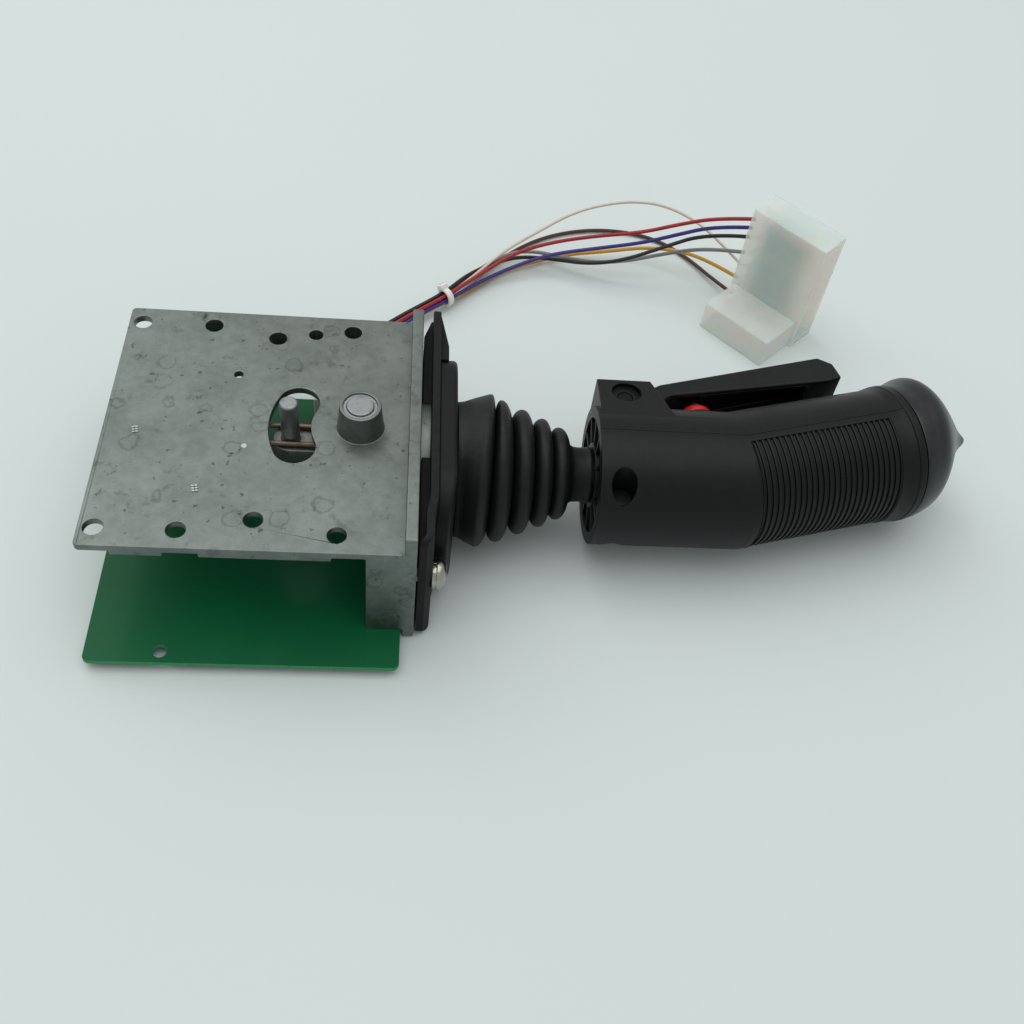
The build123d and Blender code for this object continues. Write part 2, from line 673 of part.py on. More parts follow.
def circuit_board():
    """The board under the frame, which stands out towards the front."""
    x = (BOARD_LEFT, BOARD_RIGHT)
    board = block(x, (BOARD_FRONT, BOARD_BACK), (BOARD_BOTTOM, BOARD_TOP))
    board = fillet(board.edges().filter_by(Axis.Z), BOARD_CORNER)
    for place_x, place_y in board_screw_places():
        hole = (BOARD_BOTTOM - 1, BOARD_TOP + 1)
        board -= rod_z(BOARD_SCREW_RADIUS + LOOSE_FIT, hole, place_x, place_y)
    return board - rod_z(TEST_HOLE_RADIUS, (BOARD_BOTTOM - 1, BOARD_TOP + 1), -TEST_HOLE[0], TEST_HOLE[1])


def board_screws():
    """The screws under the board, whose heads are the feet that the frame stands on."""
    screws = []
    for x, y in board_screw_places():
        head = rod_z(BOARD_HEAD_RADIUS, (FLOOR, FLOOR + BOARD_HEAD_HEIGHT), x, y)
        shank = rod_z(BOARD_SCREW_RADIUS, (FLOOR, BOARD_TOP + BOARD_SCREW_LENGTH - 1), x, y)
        screws.append(head + shank)
    return group(screws)


def board_washers():
    """The washers between the board and its screws' heads."""
    washers = []
    z = (FLOOR + BOARD_HEAD_HEIGHT, BOARD_BOTTOM)
    for x, y in board_screw_places():
        washers.append(tube_z(BOARD_WASHER_RADIUS, BOARD_SCREW_RADIUS + LOOSE_FIT, z, x, y))
    return group(washers)


def position_sensor():
    """The angle sensor under the magnet."""
    half = SENSOR_SIZE / 2
    return block((PIVOT_X - half, PIVOT_X + half), (-half, half), (BOARD_TOP, BOARD_TOP + SENSOR_HEIGHT))


def board_chips():
    """The chips on the board."""
    chips = []
    for x, y in CHIP_PLACES:
        across = (y - CHIP_WIDTH / 2, y + CHIP_WIDTH / 2)
        along = (-x - CHIP_LENGTH / 2, -x + CHIP_LENGTH / 2)
        chips.append(block(along, across, (BOARD_TOP, BOARD_TOP + CHIP_HEIGHT)))
    return group(chips)


def board_capacitors():
    """The round capacitors on the board."""
    cans = []
    for x, y in CAPACITOR_PLACES:
        cans.append(rod_z(CAPACITOR_RADIUS, (BOARD_TOP, BOARD_TOP + CAPACITOR_HEIGHT), -x, y))
    return group(cans)


def board_diodes():
    """The small diodes on the board."""
    diodes = []
    for x, y in DIODE_PLACES:
        z = (BOARD_TOP, BOARD_TOP + DIODE_HEIGHT)
        across = (y - DIODE_WIDTH / 2, y + DIODE_WIDTH / 2)
        diodes.append(block((-x - DIODE_LENGTH / 2, -x + DIODE_LENGTH / 2), across, z))
    return group(diodes)


def wire_header():
    """The header at the board's back edge that the wires leave."""
    half = HEADER_WIDTH / 2
    x = (HEADER_MIDDLE_X - half, HEADER_MIDDLE_X + half)
    y = (HEADER_FRONT, HEADER_FRONT + HEADER_DEPTH)
    return block(x, y, (BOARD_TOP, BOARD_TOP + HEADER_HEIGHT))


# Seal, bezel, boot and panel screws


def seal_line(x):
    """A face of the seal seen from above, drawn in towards the wall by the front screw."""
    return [(x - draw, y) for y, draw in SEAL_BEND]


def panel_seal():
    """The flexible plate between the panel and the bezel."""
    half = FRAME_WIDTH / 2 - SEAL_INSET
    height = WALL_HEIGHT - 2 * SEAL_INSET
    back = seal_line(SEAL_FACE)
    front = seal_line(BEZEL_FACE)
    outline = [(SEAL_FACE, half)] + back + front[::-1] + [(BEZEL_FACE, half)]
    seal = prism(outline, (-height / 2, height / 2))
    seal = seal & rounded_plate(2 * half, height, (SEAL_FACE - SCREW_DRAW, BEZEL_FACE), SEAL_CORNER)
    seal -= rod_x(BEZEL_BORE, (SEAL_FACE - 1, BEZEL_FACE + 1))
    for side in (-1, 1):
        hole = (0, BEZEL_FACE + 1)
        seal -= rod_x(PANEL_SCREW_RADIUS + LOOSE_FIT, hole, side * PANEL_SCREW_PLACE)
    return seal


def boot_bezel():
    """The rounded bezel that clamps the boot."""
    bezel = rounded_plate(BEZEL_LENGTH, BEZEL_HEIGHT, (BEZEL_FACE, BOOT_FACE), BEZEL_CORNER)
    bezel = fillet(bezel.faces().sort_by(Axis.X)[-1].edges(), BEZEL_EDGE)
    behind = rounded_plate(BEZEL_LENGTH, BEZEL_HEIGHT, (BEZEL_FACE - SCREW_DRAW, BEZEL_FACE), BEZEL_CORNER)
    room = seal_line(BEZEL_FACE) + [(BEZEL_FACE, SEAL_BEND[-1][0])]
    bezel += behind & prism(room, (-BEZEL_HEIGHT, BEZEL_HEIGHT))
    return bezel - rod_x(BEZEL_BORE, (BEZEL_FACE - 1, BOOT_FACE + 1))


def screw_seat(side):
    """Where the seal's face lies under a panel screw."""
    return BEZEL_FACE - (SCREW_DRAW if side < 0 else 0.0)


def panel_screws():
    """The two pan head screws that hold the seal, and the panel, to the end wall."""
    screws = []
    end = -WALL_THICKNESS - SCREW_BOSS_DEPTH
    for side in (-1, 1):
        seat = screw_seat(side) + LOCK_WASHER_THICKNESS
        head = rod_x(PANEL_HEAD_RADIUS, (seat, seat + PANEL_HEAD_HEIGHT), side * PANEL_SCREW_PLACE)
        head = fillet(head.edges().group_by(Axis.X)[-1], PANEL_HEAD_ROUND)
        screws.append(head + rod_x(PANEL_SCREW_RADIUS, (end, seat + 1), side * PANEL_SCREW_PLACE))
    return group(screws)


def lock_washers():
    """The split lock washers under the panel screws' heads."""
    washers = []
    for side in (-1, 1):
        x = (screw_seat(side), screw_seat(side) + LOCK_WASHER_THICKNESS)
        place = side * PANEL_SCREW_PLACE
        ring = rod_x(LOCK_WASHER_RADIUS, x, place) - rod_x(PANEL_SCREW_RADIUS + LOOSE_FIT, x, place)
        slit_y = (place - LOCK_WASHER_SLIT / 2, place + LOCK_WASHER_SLIT / 2)
        slit = block(x, slit_y, (0, LOCK_WASHER_RADIUS + 1))
        washers.append(ring - slit)
    return group(washers)


def boot():
    """The rubber bellows from the bezel to the shaft, as a closed skin with a hollow."""
    outer = [(BOOT_FACE, BOOT_BASE_RADIUS)]
    inner = [(BOOT_FACE, BOOT_BASE_RADIUS - BOOT_WALL)]
    for crest, crest_radius, valley, valley_radius in BOOT_FOLDS:
        outer.append((valley, valley_radius))
        outer.append((crest - BOOT_CREST, crest_radius))
        outer.append((crest + BOOT_CREST, crest_radius))
        inner.append((valley, valley_radius - BOOT_WALL))
        inner.append((crest, crest_radius - 1.5 * BOOT_WALL))
    neck_end = HANDLE_START - HANDLE_GAP
    outer.append((BOOT_NECK_START, BOOT_NECK_RADIUS))
    outer.append((neck_end, BOOT_NECK_RADIUS))
    inner.append((BOOT_NECK_START, SHAFT_RADIUS + RUN_FIT))
    inner.append((neck_end, SHAFT_RADIUS + RUN_FIT))
    return turned(outer + inner[::-1])


# Handle


def bent_bar(radius, start, end):
    """A round bar that follows the handle's axis round the bend."""
    grip_x, grip_y = grip_point(end, 0)
    path = Polyline((start, 0, 0), (BEND_X, 0, 0), (grip_x, grip_y, 0))
    return sweep(Plane.YZ.offset(start) * Circle(radius), path=path, transition=Transition.RIGHT)


def half_space(side):
    """The room on one side of the parting surface, which follows the handle's axis."""
    reach = 3 * HANDLE_RADIUS
    far = grip_point(SHELL_END + reach, 0)
    outline = [
        (HANDLE_START - reach, 0),
        (BEND_X, 0),
        far,
        (far[0], far[1] + side * reach),
        (HANDLE_START - reach, side * reach),
    ]
    return prism(outline, (-reach, reach))


def end_wall(side):
    """One half of the wall that closes the handle round the shaft."""
    wall = rod_x(HANDLE_RADIUS - CORE_GAP, (HANDLE_START, HANDLE_START + END_WALL))
    recess = rod_x(END_RECESS_RADIUS, (HANDLE_START - 1, HANDLE_START + END_RECESS))
    wall -= recess - rod_x(END_HUB_RADIUS, (HANDLE_START - 1, HANDLE_START + END_RECESS))
    wall -= rod_x(SHAFT_RADIUS + LOOSE_FIT, (HANDLE_START - 1, HANDLE_START + END_WALL + 1))
    return wall & half_space(side)


def shell_half(side):
    """One bare half of the handle's shell."""
    outer = bent_bar(HANDLE_RADIUS, HANDLE_START, SHELL_END)
    flare = [(SHELL_END - FLARE_LENGTH, HANDLE_RADIUS), (SHELL_END, HANDLE_RADIUS + FLARE_RISE)]
    outer += grip(turned([(SHELL_END - FLARE_LENGTH, 0)] + flare + [(SHELL_END, 0)]))
    inner = bent_bar(INNER_RADIUS, HANDLE_START - 1, SHELL_END + 1)
    return ((outer - inner) & half_space(side)) + end_wall(side)


def rib_grooves():
    """The grooves round the front of the grip, in a shallow bed that ends beside the seam."""
    reach = 2 * HANDLE_RADIUS
    last = FIRST_RIB + (RIB_COUNT - 1) * RIB_PITCH + RIB_WIDTH
    bed_x = (FIRST_RIB - RIB_BED_MARGIN, last + RIB_BED_MARGIN)
    cuts = [rod_x(HANDLE_RADIUS + 1, bed_x) - rod_x(HANDLE_RADIUS - RIB_BED_DEPTH, bed_x)]
    for index in range(RIB_COUNT):
        x = (FIRST_RIB + index * RIB_PITCH, FIRST_RIB + index * RIB_PITCH + RIB_WIDTH)
        cuts.append(rod_x(HANDLE_RADIUS + 1, x) - rod_x(HANDLE_RADIUS - RIB_DEPTH, x))
    front = block(bed_x, (-reach, -RIB_SEAM_GAP), (-reach, reach))
    return [grip(cut & front) for cut in cuts]


def front_shell():
    """The ribbed front half of the handle, with the wells of the core's screws."""
    shell = shell_half(-1) - rib_grooves()
    screw_x, screw_y = CORE_SCREW_PLACE
    floor_z = CORE_SCREW_FLOOR - CORE_SCREW_FLOOR_THICKNESS
    well = rod_z(CORE_SCREW_WELL + WELL_WALL, (floor_z, HANDLE_RADIUS), screw_x, screw_y)
    well = well & rod_x(HANDLE_RADIUS - CORE_GAP, (HANDLE_START + 1, BEND_X))
    drill = rod_z(CORE_SCREW_WELL, (CORE_SCREW_FLOOR, HANDLE_RADIUS + 1), screw_x, screw_y)
    hole = rod_z(CORE_SCREW_RADIUS + LOOSE_FIT, (floor_z - 1, CORE_SCREW_FLOOR + 1), screw_x, screw_y)
    shell += well
    shell += mirrored_z(well)
    for cut in (drill, hole):
        shell -= cut
        shell -= mirrored_z(cut)
    for place in SHELL_SCREW_PLACES:
        pillar = rod_y(PILLAR_RADIUS, (-INNER_RADIUS - 1, 0), place)
        pillar -= rod_y(SHELL_SCREW_RADIUS + SCREW_FIT, (-SHELL_SCREW_REACH - 1, 1), place)
        shell += grip(pillar)
    return shell


def lug():
    """The square shouldered lug on the back half, which carries the trigger."""
    seam_top = HANDLE_RADIUS
    back_top = HANDLE_RADIUS - LUG_DROP
    corners = [(0, -seam_top), (LUG_BACK, -back_top), (LUG_BACK, back_top), (0, seam_top)]
    section = make_face(Polyline(*corners, close=True))
    body = extrude(Plane.YZ.offset(LUG_START) * section, LUG_END_SEAM - LUG_START)
    outline = [(LUG_START, 0), (LUG_END_SEAM, 0), (LUG_END_TOP, LUG_BACK), (LUG_START, LUG_BACK)]
    return body & prism(outline, (-HANDLE_RADIUS - 1, HANDLE_RADIUS + 1))


def back_shell():
    """The back half of the handle, with the lug, the trigger's slot and the button's guard."""
    shell = shell_half(1)
    hollow = rod_x(INNER_RADIUS, (HANDLE_START + END_WALL, BEND_X))
    shell += lug() - hollow - rod_x(SHAFT_RADIUS + LOOSE_FIT, (HANDLE_START, BEND_X))
    guard = rod_y(BUTTON_RADIUS + BUTTON_GUARD_WALL, (INNER_RADIUS, BUTTON_GUARD_TOP), BUTTON_X)
    shell += guard - rod_x(INNER_RADIUS, (HANDLE_START + END_WALL, BEND_X))
    slot_half = TRIGGER_HALF_WIDTH + TRIGGER_SIDE_GAP
    eye_front = TRIGGER_PIVOT[0] - TRIGGER_EYE_RADIUS - TRIGGER_SIDE_GAP
    shell -= block((eye_front, SLOT_END), (SLOT_FRONT, LUG_BACK + 1), (-slot_half, slot_half))
    pivot_x, pivot_y = TRIGGER_PIVOT
    shell -= rod_z(TRIGGER_PIN_RADIUS + RUN_FIT, (-HANDLE_RADIUS, HANDLE_RADIUS), pivot_x, pivot_y)
    well = rod_z(PIN_WELL_RADIUS, (HANDLE_RADIUS - PIN_WELL_DEPTH, HANDLE_RADIUS + 1), pivot_x, pivot_y)
    shell -= well
    shell -= mirrored_z(well)
    shell -= rod_y(BUTTON_RADIUS + BUTTON_SIDE_GAP, (BUTTON_FLANGE_TOP - 1, BUTTON_GUARD_TOP + 1), BUTTON_X)
    for place in SHELL_SCREW_PLACES:
        pillar = rod_y(PILLAR_RADIUS, (0, INNER_RADIUS + 1), place)
        shell += grip(pillar)
        shell -= grip(rod_y(SHELL_HEAD_RADIUS + LOOSE_FIT, (SHELL_HEAD_FLOOR, HANDLE_RADIUS + 1), place))
        shell -= grip(rod_y(SHELL_SCREW_RADIUS + LOOSE_FIT, (-1, SHELL_HEAD_FLOOR + 1), place))
    return shell


def handle_core():
    """The block inside the handle that grips the shaft and carries the trigger switch."""
    core = rod_x(INNER_RADIUS - CORE_GAP, (CORE_START, CORE_END))
    reach = 2 * HANDLE_RADIUS
    core = core & block((CORE_START, CORE_END), (-reach, CORE_BACK), (-reach, reach))
    shelf_y = (-SHELF_HALF_HEIGHT, SWITCH_TOP - SWITCH_WELL_DEPTH - BUTTON_FLANGE_THICKNESS)
    core += block((CORE_END - 1, CORE_END + SHELF_LENGTH), shelf_y, (-SHELF_HALF_HEIGHT, SHELF_HALF_HEIGHT))
    core -= rod_x(SHAFT_RADIUS, (CORE_START - 1, SHAFT_END))
    core -= rod_z(CROSS_PIN_RADIUS, (-CROSS_PIN_LENGTH / 2, CROSS_PIN_LENGTH / 2), CROSS_PIN_X)
    screw_x, screw_y = CORE_SCREW_PLACE
    floor_z = CORE_SCREW_FLOOR - CORE_SCREW_FLOOR_THICKNESS
    spot = rod_z(CORE_SCREW_WELL + WELL_WALL + CORE_GAP, (floor_z, HANDLE_RADIUS), screw_x, screw_y)
    core -= spot
    core -= mirrored_z(spot)
    return core - rod_z(CORE_SCREW_RADIUS + SCREW_FIT, (-floor_z - 1, floor_z + 1), screw_x, screw_y)


def cross_pin():
    """The pin that keeps the core on the shaft."""
    return rod_z(CROSS_PIN_RADIUS, (-CROSS_PIN_LENGTH / 2, CROSS_PIN_LENGTH / 2), CROSS_PIN_X)


def core_screws():
    """The two screws that hold the front shell to the core."""
    screw_x, screw_y = CORE_SCREW_PLACE
    head_z = (CORE_SCREW_FLOOR, CORE_SCREW_FLOOR + CORE_HEAD_HEIGHT)
    head = rod_z(CORE_HEAD_RADIUS, head_z, screw_x, screw_y)
    start = CORE_SCREW_FLOOR - CORE_SCREW_REACH
    screw = head + rod_z(CORE_SCREW_RADIUS, (start, CORE_SCREW_FLOOR + 1), screw_x, screw_y)
    return group([screw, mirrored_z(screw)])


def shell_screws():
    """The screws that hold the two shells together along the grip."""
    screws = []
    for place in SHELL_SCREW_PLACES:
        head_y = (SHELL_HEAD_FLOOR, SHELL_HEAD_FLOOR + SHELL_HEAD_HEIGHT)
        shank = rod_y(SHELL_SCREW_RADIUS, (-SHELL_SCREW_REACH, SHELL_HEAD_FLOOR + 1), place)
        screws.append(grip(rod_y(SHELL_HEAD_RADIUS, head_y, place) + shank))
    return group(screws)


# Trigger, button and switch


def trigger_outline():
    """The trigger seen along its pivot pin, without the eye."""
    eye_x, eye_y = TRIGGER_PIVOT
    return [
        (eye_x - TRIGGER_EYE_RADIUS * 0.78, eye_y + TRIGGER_EYE_RADIUS * 0.62),
        TRIGGER_WEB_START,
        TRIGGER_WEB_END,
        (TRIGGER_TIP[0] - 2.0, TRIGGER_WEB_END[1] - 2.6),
        TRIGGER_TIP,
        TRIGGER_EDGE_END,
        TRIGGER_EDGE_START,
        (eye_x + TRIGGER_EYE_RADIUS * 0.62, eye_y - TRIGGER_EYE_RADIUS * 0.78),
    ]


def web_line(place_x, inset):
    """A point of the trigger's web at an X, a distance in from its outer face."""
    run_x = TRIGGER_WEB_END[0] - TRIGGER_WEB_START[0]
    run_y = TRIGGER_WEB_END[1] - TRIGGER_WEB_START[1]
    drop = inset * math.hypot(run_x, run_y) / run_x
    return (place_x, TRIGGER_WEB_START[1] + (place_x - TRIGGER_WEB_START[0]) * run_y / run_x - drop)


def trigger():
    """The channel shaped trigger, with its eye and the nub that presses the button."""
    z = (-TRIGGER_HALF_WIDTH, TRIGGER_HALF_WIDTH)
    body = prism(trigger_outline(), z) + rod_z(TRIGGER_EYE_RADIUS, z, TRIGGER_PIVOT[0], TRIGGER_PIVOT[1])
    inside = TRIGGER_HALF_WIDTH - TRIGGER_WALL
    block_x = TRIGGER_EDGE_END[0] - TRIGGER_END_BLOCK
    hollow = [
        (TRIGGER_PIVOT[0] - 2 * TRIGGER_EYE_RADIUS, TRIGGER_PIVOT[1] - 2 * TRIGGER_EYE_RADIUS),
        (TRIGGER_PIVOT[0] - 2 * TRIGGER_EYE_RADIUS, TRIGGER_PIVOT[1] + TRIGGER_EYE_RADIUS * 0.4),
        web_line(TRIGGER_WEB_START[0], TRIGGER_WALL),
        web_line(block_x, TRIGGER_WALL),
        (block_x, 0),
    ]
    body -= prism(hollow, (-inside, inside))
    body -= rod_z(TRIGGER_PIN_RADIUS + RUN_FIT, (z[0] - 1, z[1] + 1), TRIGGER_PIVOT[0], TRIGGER_PIVOT[1])
    nub_y = (BUTTON_TIP + NUB_GAP, web_line(BUTTON_X, TRIGGER_WALL / 2)[1])
    return body + rod_y(NUB_RADIUS, nub_y, BUTTON_X)


def trigger_pin():
    """The trigger's pivot pin, its ends deep in the lug's wells."""
    end = HANDLE_RADIUS - PIN_WELL_DEPTH - LOOSE_FIT
    return rod_z(TRIGGER_PIN_RADIUS, (-end, end), TRIGGER_PIVOT[0], TRIGGER_PIVOT[1])


def trigger_spring():
    """The coiled return spring round the trigger's pin, as a sleeve of its outer size."""
    inner = TRIGGER_PIN_RADIUS + SPRING_COIL_GAP
    z = (-SPRING_COIL_LENGTH / 2, SPRING_COIL_LENGTH / 2)
    return tube_z(inner + SPRING_COIL_WIRE, inner, z, TRIGGER_PIVOT[0], TRIGGER_PIVOT[1])


def red_button():
    """The red button under the trigger, with its flange and stem."""
    dome_y = BUTTON_TIP - BUTTON_DOME
    curve = (BUTTON_RADIUS**2 + BUTTON_DOME**2) / (2 * BUTTON_DOME)
    dome = Pos(BUTTON_X, BUTTON_TIP - curve, 0) * Sphere(curve)
    button = rod_y(BUTTON_RADIUS, (BUTTON_FLANGE_TOP - 1, dome_y), BUTTON_X)
    button += dome & rod_y(BUTTON_RADIUS, (dome_y, BUTTON_TIP), BUTTON_X)
    flange_y = (BUTTON_FLANGE_TOP - BUTTON_FLANGE_THICKNESS, BUTTON_FLANGE_TOP)
    button += rod_y(BUTTON_FLANGE_RADIUS, flange_y, BUTTON_X)
    return button + rod_y(BUTTON_STEM_RADIUS, (STEM_TIP, flange_y[1]), BUTTON_X)


def button_switch():
    """The snap switch that the button's stem works, on the core's shelf."""
    bottom = SWITCH_TOP - SWITCH_WELL_DEPTH - BUTTON_FLANGE_THICKNESS
    x = (BUTTON_X - SWITCH_LENGTH / 2, BUTTON_X + SWITCH_LENGTH / 2)
    body = block(x, (bottom, SWITCH_TOP), (-SWITCH_HALF_WIDTH, SWITCH_HALF_WIDTH))
    well = rod_y(BUTTON_STEM_RADIUS + LOOSE_FIT, (SWITCH_TOP - SWITCH_WELL_DEPTH, SWITCH_TOP + 1), BUTTON_X)
    return body - well


# Collar, rocker and cap at the grip's end


def grip_collar():
    """The collar that closes the shells and carries the rocker switch and the cap."""
    low = COLLAR_RING_RADIUS - COLLAR_EDGE
    edge = [(SHELL_END + COLLAR_EDGE, COLLAR_RING_RADIUS), (CAP_START - COLLAR_EDGE, COLLAR_RING_RADIUS)]
    collar = turned([(SHELL_END, 0), (SHELL_END, low)] + edge + [(CAP_START, low), (CAP_START, 0)])
    collar += rod_x(INNER_RADIUS + COLLAR_SPIGOT_GAP, (CAP_START, CAP_START + COLLAR_SPIGOT))
    collar += rod_x(INNER_RADIUS - COLLAR_SPIGOT_GAP, (SHELL_END - COLLAR_SPIGOT, SHELL_END))
    collar -= rod_x(COLLAR_BORE, (SHELL_END + COLLAR_WEB, CAP_START + COLLAR_SPIGOT + 1))
    collar -= rod_x(COLLAR_BORE, (SHELL_END - COLLAR_SPIGOT - 1, SHELL_END))
    half_width = ROCKER_SWITCH_WIDTH / 2 + LOOSE_FIT
    half_height = ROCKER_SWITCH_HEIGHT / 2 + LOOSE_FIT
    window = block((SHELL_END - 1, CAP_START), (-half_width, half_width), (-half_height, half_height))
    return grip(collar - window)


def rocker_switch():
    """The rocker switch's body in the collar, with two ears for the rocker's pin."""
    half_width = ROCKER_SWITCH_WIDTH / 2
    half_height = ROCKER_SWITCH_HEIGHT / 2
    seat = SHELL_END + COLLAR_WEB
    body = block((seat - ROCKER_SWITCH_DEPTH, seat), (-half_width, half_width), (-half_height, half_height))
    rim = ROCKER_EAR_THICKNESS
    flange_y = (-half_width - rim, half_width + rim)
    body += block((seat, ROCKER_BASE), flange_y, (-half_height - rim, half_height + rim))
    for side in (-1, 1):
        ear_y = sorted((side * half_width, side * (half_width - ROCKER_EAR_THICKNESS)))
        ear_x = (seat, ROCKER_BASE + ROCKER_EAR_HEIGHT)
        body += block(ear_x, ear_y, (-ROCKER_EAR_DEPTH / 2, ROCKER_EAR_DEPTH / 2))
    body -= rod_y(ROCKER_PIN_RADIUS + RUN_FIT, (-half_width - 1, half_width + 1), ROCKER_PIVOT)
    return grip(body)


def rocker():
    """The thumb rocker between the ears, with its pin."""
    ear_inside = ROCKER_SWITCH_WIDTH / 2 - ROCKER_EAR_THICKNESS - LOOSE_FIT
    far = ROCKER_PIVOT + ROCKER_LENGTH
    profile = Polyline(
        (ROCKER_BASE + 1.0, 0, -ROCKER_HALF_HEIGHT / 4),
        (ROCKER_PIVOT, 0, -ROCKER_HALF_HEIGHT),
        (far - 2.0, 0, -ROCKER_HALF_HEIGHT * 0.8),
        (far, 0, 0),
        (far - 2.0, 0, ROCKER_HALF_HEIGHT * 0.8),
        (ROCKER_PIVOT, 0, ROCKER_HALF_HEIGHT),
        (ROCKER_BASE + 1.0, 0, ROCKER_HALF_HEIGHT / 4),
        close=True,
    )
    body = extrude(make_face(profile), ear_inside, both=True)
    pin_end = ROCKER_SWITCH_WIDTH / 2
    return grip(body + rod_y(ROCKER_PIN_RADIUS, (-pin_end, pin_end), ROCKER_PIVOT))


def cap_ring(place, radius, aside, up):
    """A ring of the cap, across the grip."""
    plane = Plane(origin=(CAP_START + place, aside, up), x_dir=(0, 1, 0), z_dir=(1, 0, 0))
    return plane * Circle(radius)


def rubber_cap():
    """The rubber cap over the rocker, leaning to one side, with the nub at its tip."""
    start = cap_ring(0.0, COLLAR_RING_RADIUS, 0.0, 0.0)
    outer = loft([start] + [cap_ring(*ring) for ring in CAP_RINGS], ruled=True)
    hollow_radius = INNER_RADIUS + 2 * COLLAR_SPIGOT_GAP
    hollow = rod_x(hollow_radius, (CAP_START - 1, CAP_START + COLLAR_SPIGOT + CAP_ROOM))
    rings = [cap_ring(COLLAR_SPIGOT + CAP_ROOM, hollow_radius, 0.0, 0.0)]
    first, last = CAP_HOLLOW_RINGS
    for place, radius, aside, up in CAP_RINGS[first:last]:
        rings.append(cap_ring(place - CAP_ROOM, radius - CAP_WALL - CAP_ROOM, aside, up))
    hollow += loft(rings, ruled=True)
    return grip(outer - hollow)


# Wire lead


def bundle_point(place, heading, across, up):
    """A wire's point beside the bundle's middle line, a distance to its left and up."""
    turn = math.radians(heading)
    x, y, z = place
    return (x - across * math.sin(turn), y + across * math.cos(turn), z + up)


def connector_frame(part):
    """Moves a piece from the connector's own frame to its place."""
    return Pos(CONNECTOR_CORNER[0], CONNECTOR_CORNER[1], 0) * Rot(0, 0, CONNECTOR_TURN) * part


def entry_point(height):
    """Where a wire meets the connector's end face."""
    turn = math.radians(CONNECTOR_TURN)
    x = CONNECTOR_CORNER[0] - ENTRY_PLACE * math.sin(turn)
    return (x, CONNECTOR_CORNER[1] + ENTRY_PLACE * math.cos(turn), height)


def wire_points(name):
    """A wire's whole route, from the header to the connector."""
    slot, across, up = WIRE_SLOTS[name]
    middle = (len(WIRE_SLOTS) - 1) / 2
    exit_x = HEADER_MIDDLE_X + HEADER_PITCH * (slot - middle)
    points = [(exit_x, HEADER_FRONT + HEADER_DEPTH, BOARD_TOP + HEADER_WIRE_HEIGHT)]
    points.append(bundle_point(FAN_PLACE, 90.0, (middle - slot) * FAN_PITCH, up * FAN_RISE))
    row = BUNDLE_PITCH * math.sqrt(3) / 2
    for place, heading, spread in BUNDLE_PLACES:
        aside = across * spread * BUNDLE_PITCH / 2
        points.append(bundle_point(place, heading, aside, up * spread * row))
    points.extend(WIRE_LAY[name])
    points.append(entry_point(ENTRY_HEIGHTS[name]))
    return points


def arc_radii(points):
    """The radius of the arc at each inner point, from the runs on its two sides."""
    radii = []
    for before, corner, after in zip(points, points[1:], points[2:]):
        back = Vector(*before) - Vector(*corner)
        ahead = Vector(*after) - Vector(*corner)
        half_turn = math.radians(180 - back.get_angle(ahead)) / 2
        radii.append(ARC_SHARE * min(back.length, ahead.length) / math.tan(half_turn))
    return radii


def wire(name):
    """A wire as a round tube of straight runs and arcs."""
    points = wire_points(name)
    radii = arc_radii(points)
    radius = THIN_WIRE_RADIUS if name in THIN_WIRES else WIRE_RADIUS
    path = FilletPolyline(*points, radius=radii)
    tube = sweep(Plane(origin=path @ 0, z_dir=path % 0) * Circle(radius), path=path)
    share = round(tube.volume / (math.pi * radius**2 * path.length), 4)
    print(name, round(path.length, 1), "long, smallest radius", round(min(radii), 1), "volume share", share)
    return tube


def cable_tie():
    """The tie round the bundle, with its head."""
    place, heading, _ = BUNDLE_PLACES[-1]
    inner = BUNDLE_PITCH + WIRE_RADIUS + TIE_GAP
    ring = rod_x(inner + TIE_THICKNESS, (-TIE_WIDTH / 2, TIE_WIDTH / 2))
    head_y = (-TIE_WIDTH * 0.8, TIE_WIDTH * 0.8)
    ring += block((-TIE_WIDTH * 0.8, TIE_WIDTH * 0.8), head_y, (inner, inner + 2.4 * TIE_THICKNESS))
    ring -= rod_x(inner, (-TIE_WIDTH, TIE_WIDTH))
    return Pos(*place) * Rot(0, 0, heading) * ring


def connector_housing():
    """The clear connector housing with its low ledge, open towards its far end."""
    top = FLOOR + CONNECTOR_HEIGHT
    body = block((0, CONNECTOR_LENGTH), (0, CONNECTOR_DEPTH), (FLOOR, top))
    ledge_x = (LEDGE_INSET, CONNECTOR_LENGTH - LEDGE_INSET)
    body += block(ledge_x, (-LEDGE_DEPTH, 0), (FLOOR, FLOOR + LEDGE_HEIGHT))
    body = fillet(body.edges().filter_by(Axis.Z), CONNECTOR_EDGE)
    body -= block(
        (CONNECTOR_END_WALL, CONNECTOR_LENGTH + 1),
        (CONNECTOR_WALL, CONNECTOR_DEPTH - CONNECTOR_WALL),
        (FLOOR + CONNECTOR_WALL, top - CONNECTOR_WALL),
    )
    return connector_frame(body)


def connector_terminals():
    """The crimped terminals inside the housing, in line with the wires."""
    terminals = []
    half = TERMINAL_SIZE / 2
    seat = CONNECTOR_END_WALL
    for height in ENTRY_HEIGHTS.values():
        level = max(height, FLOOR + CONNECTOR_WALL + half + LOOSE_FIT)
        across = (ENTRY_PLACE - half, ENTRY_PLACE + half)
        pin = block((seat, seat + TERMINAL_LENGTH), across, (level - half, level + half))
        terminals.append(connector_frame(pin))
    return group(terminals)


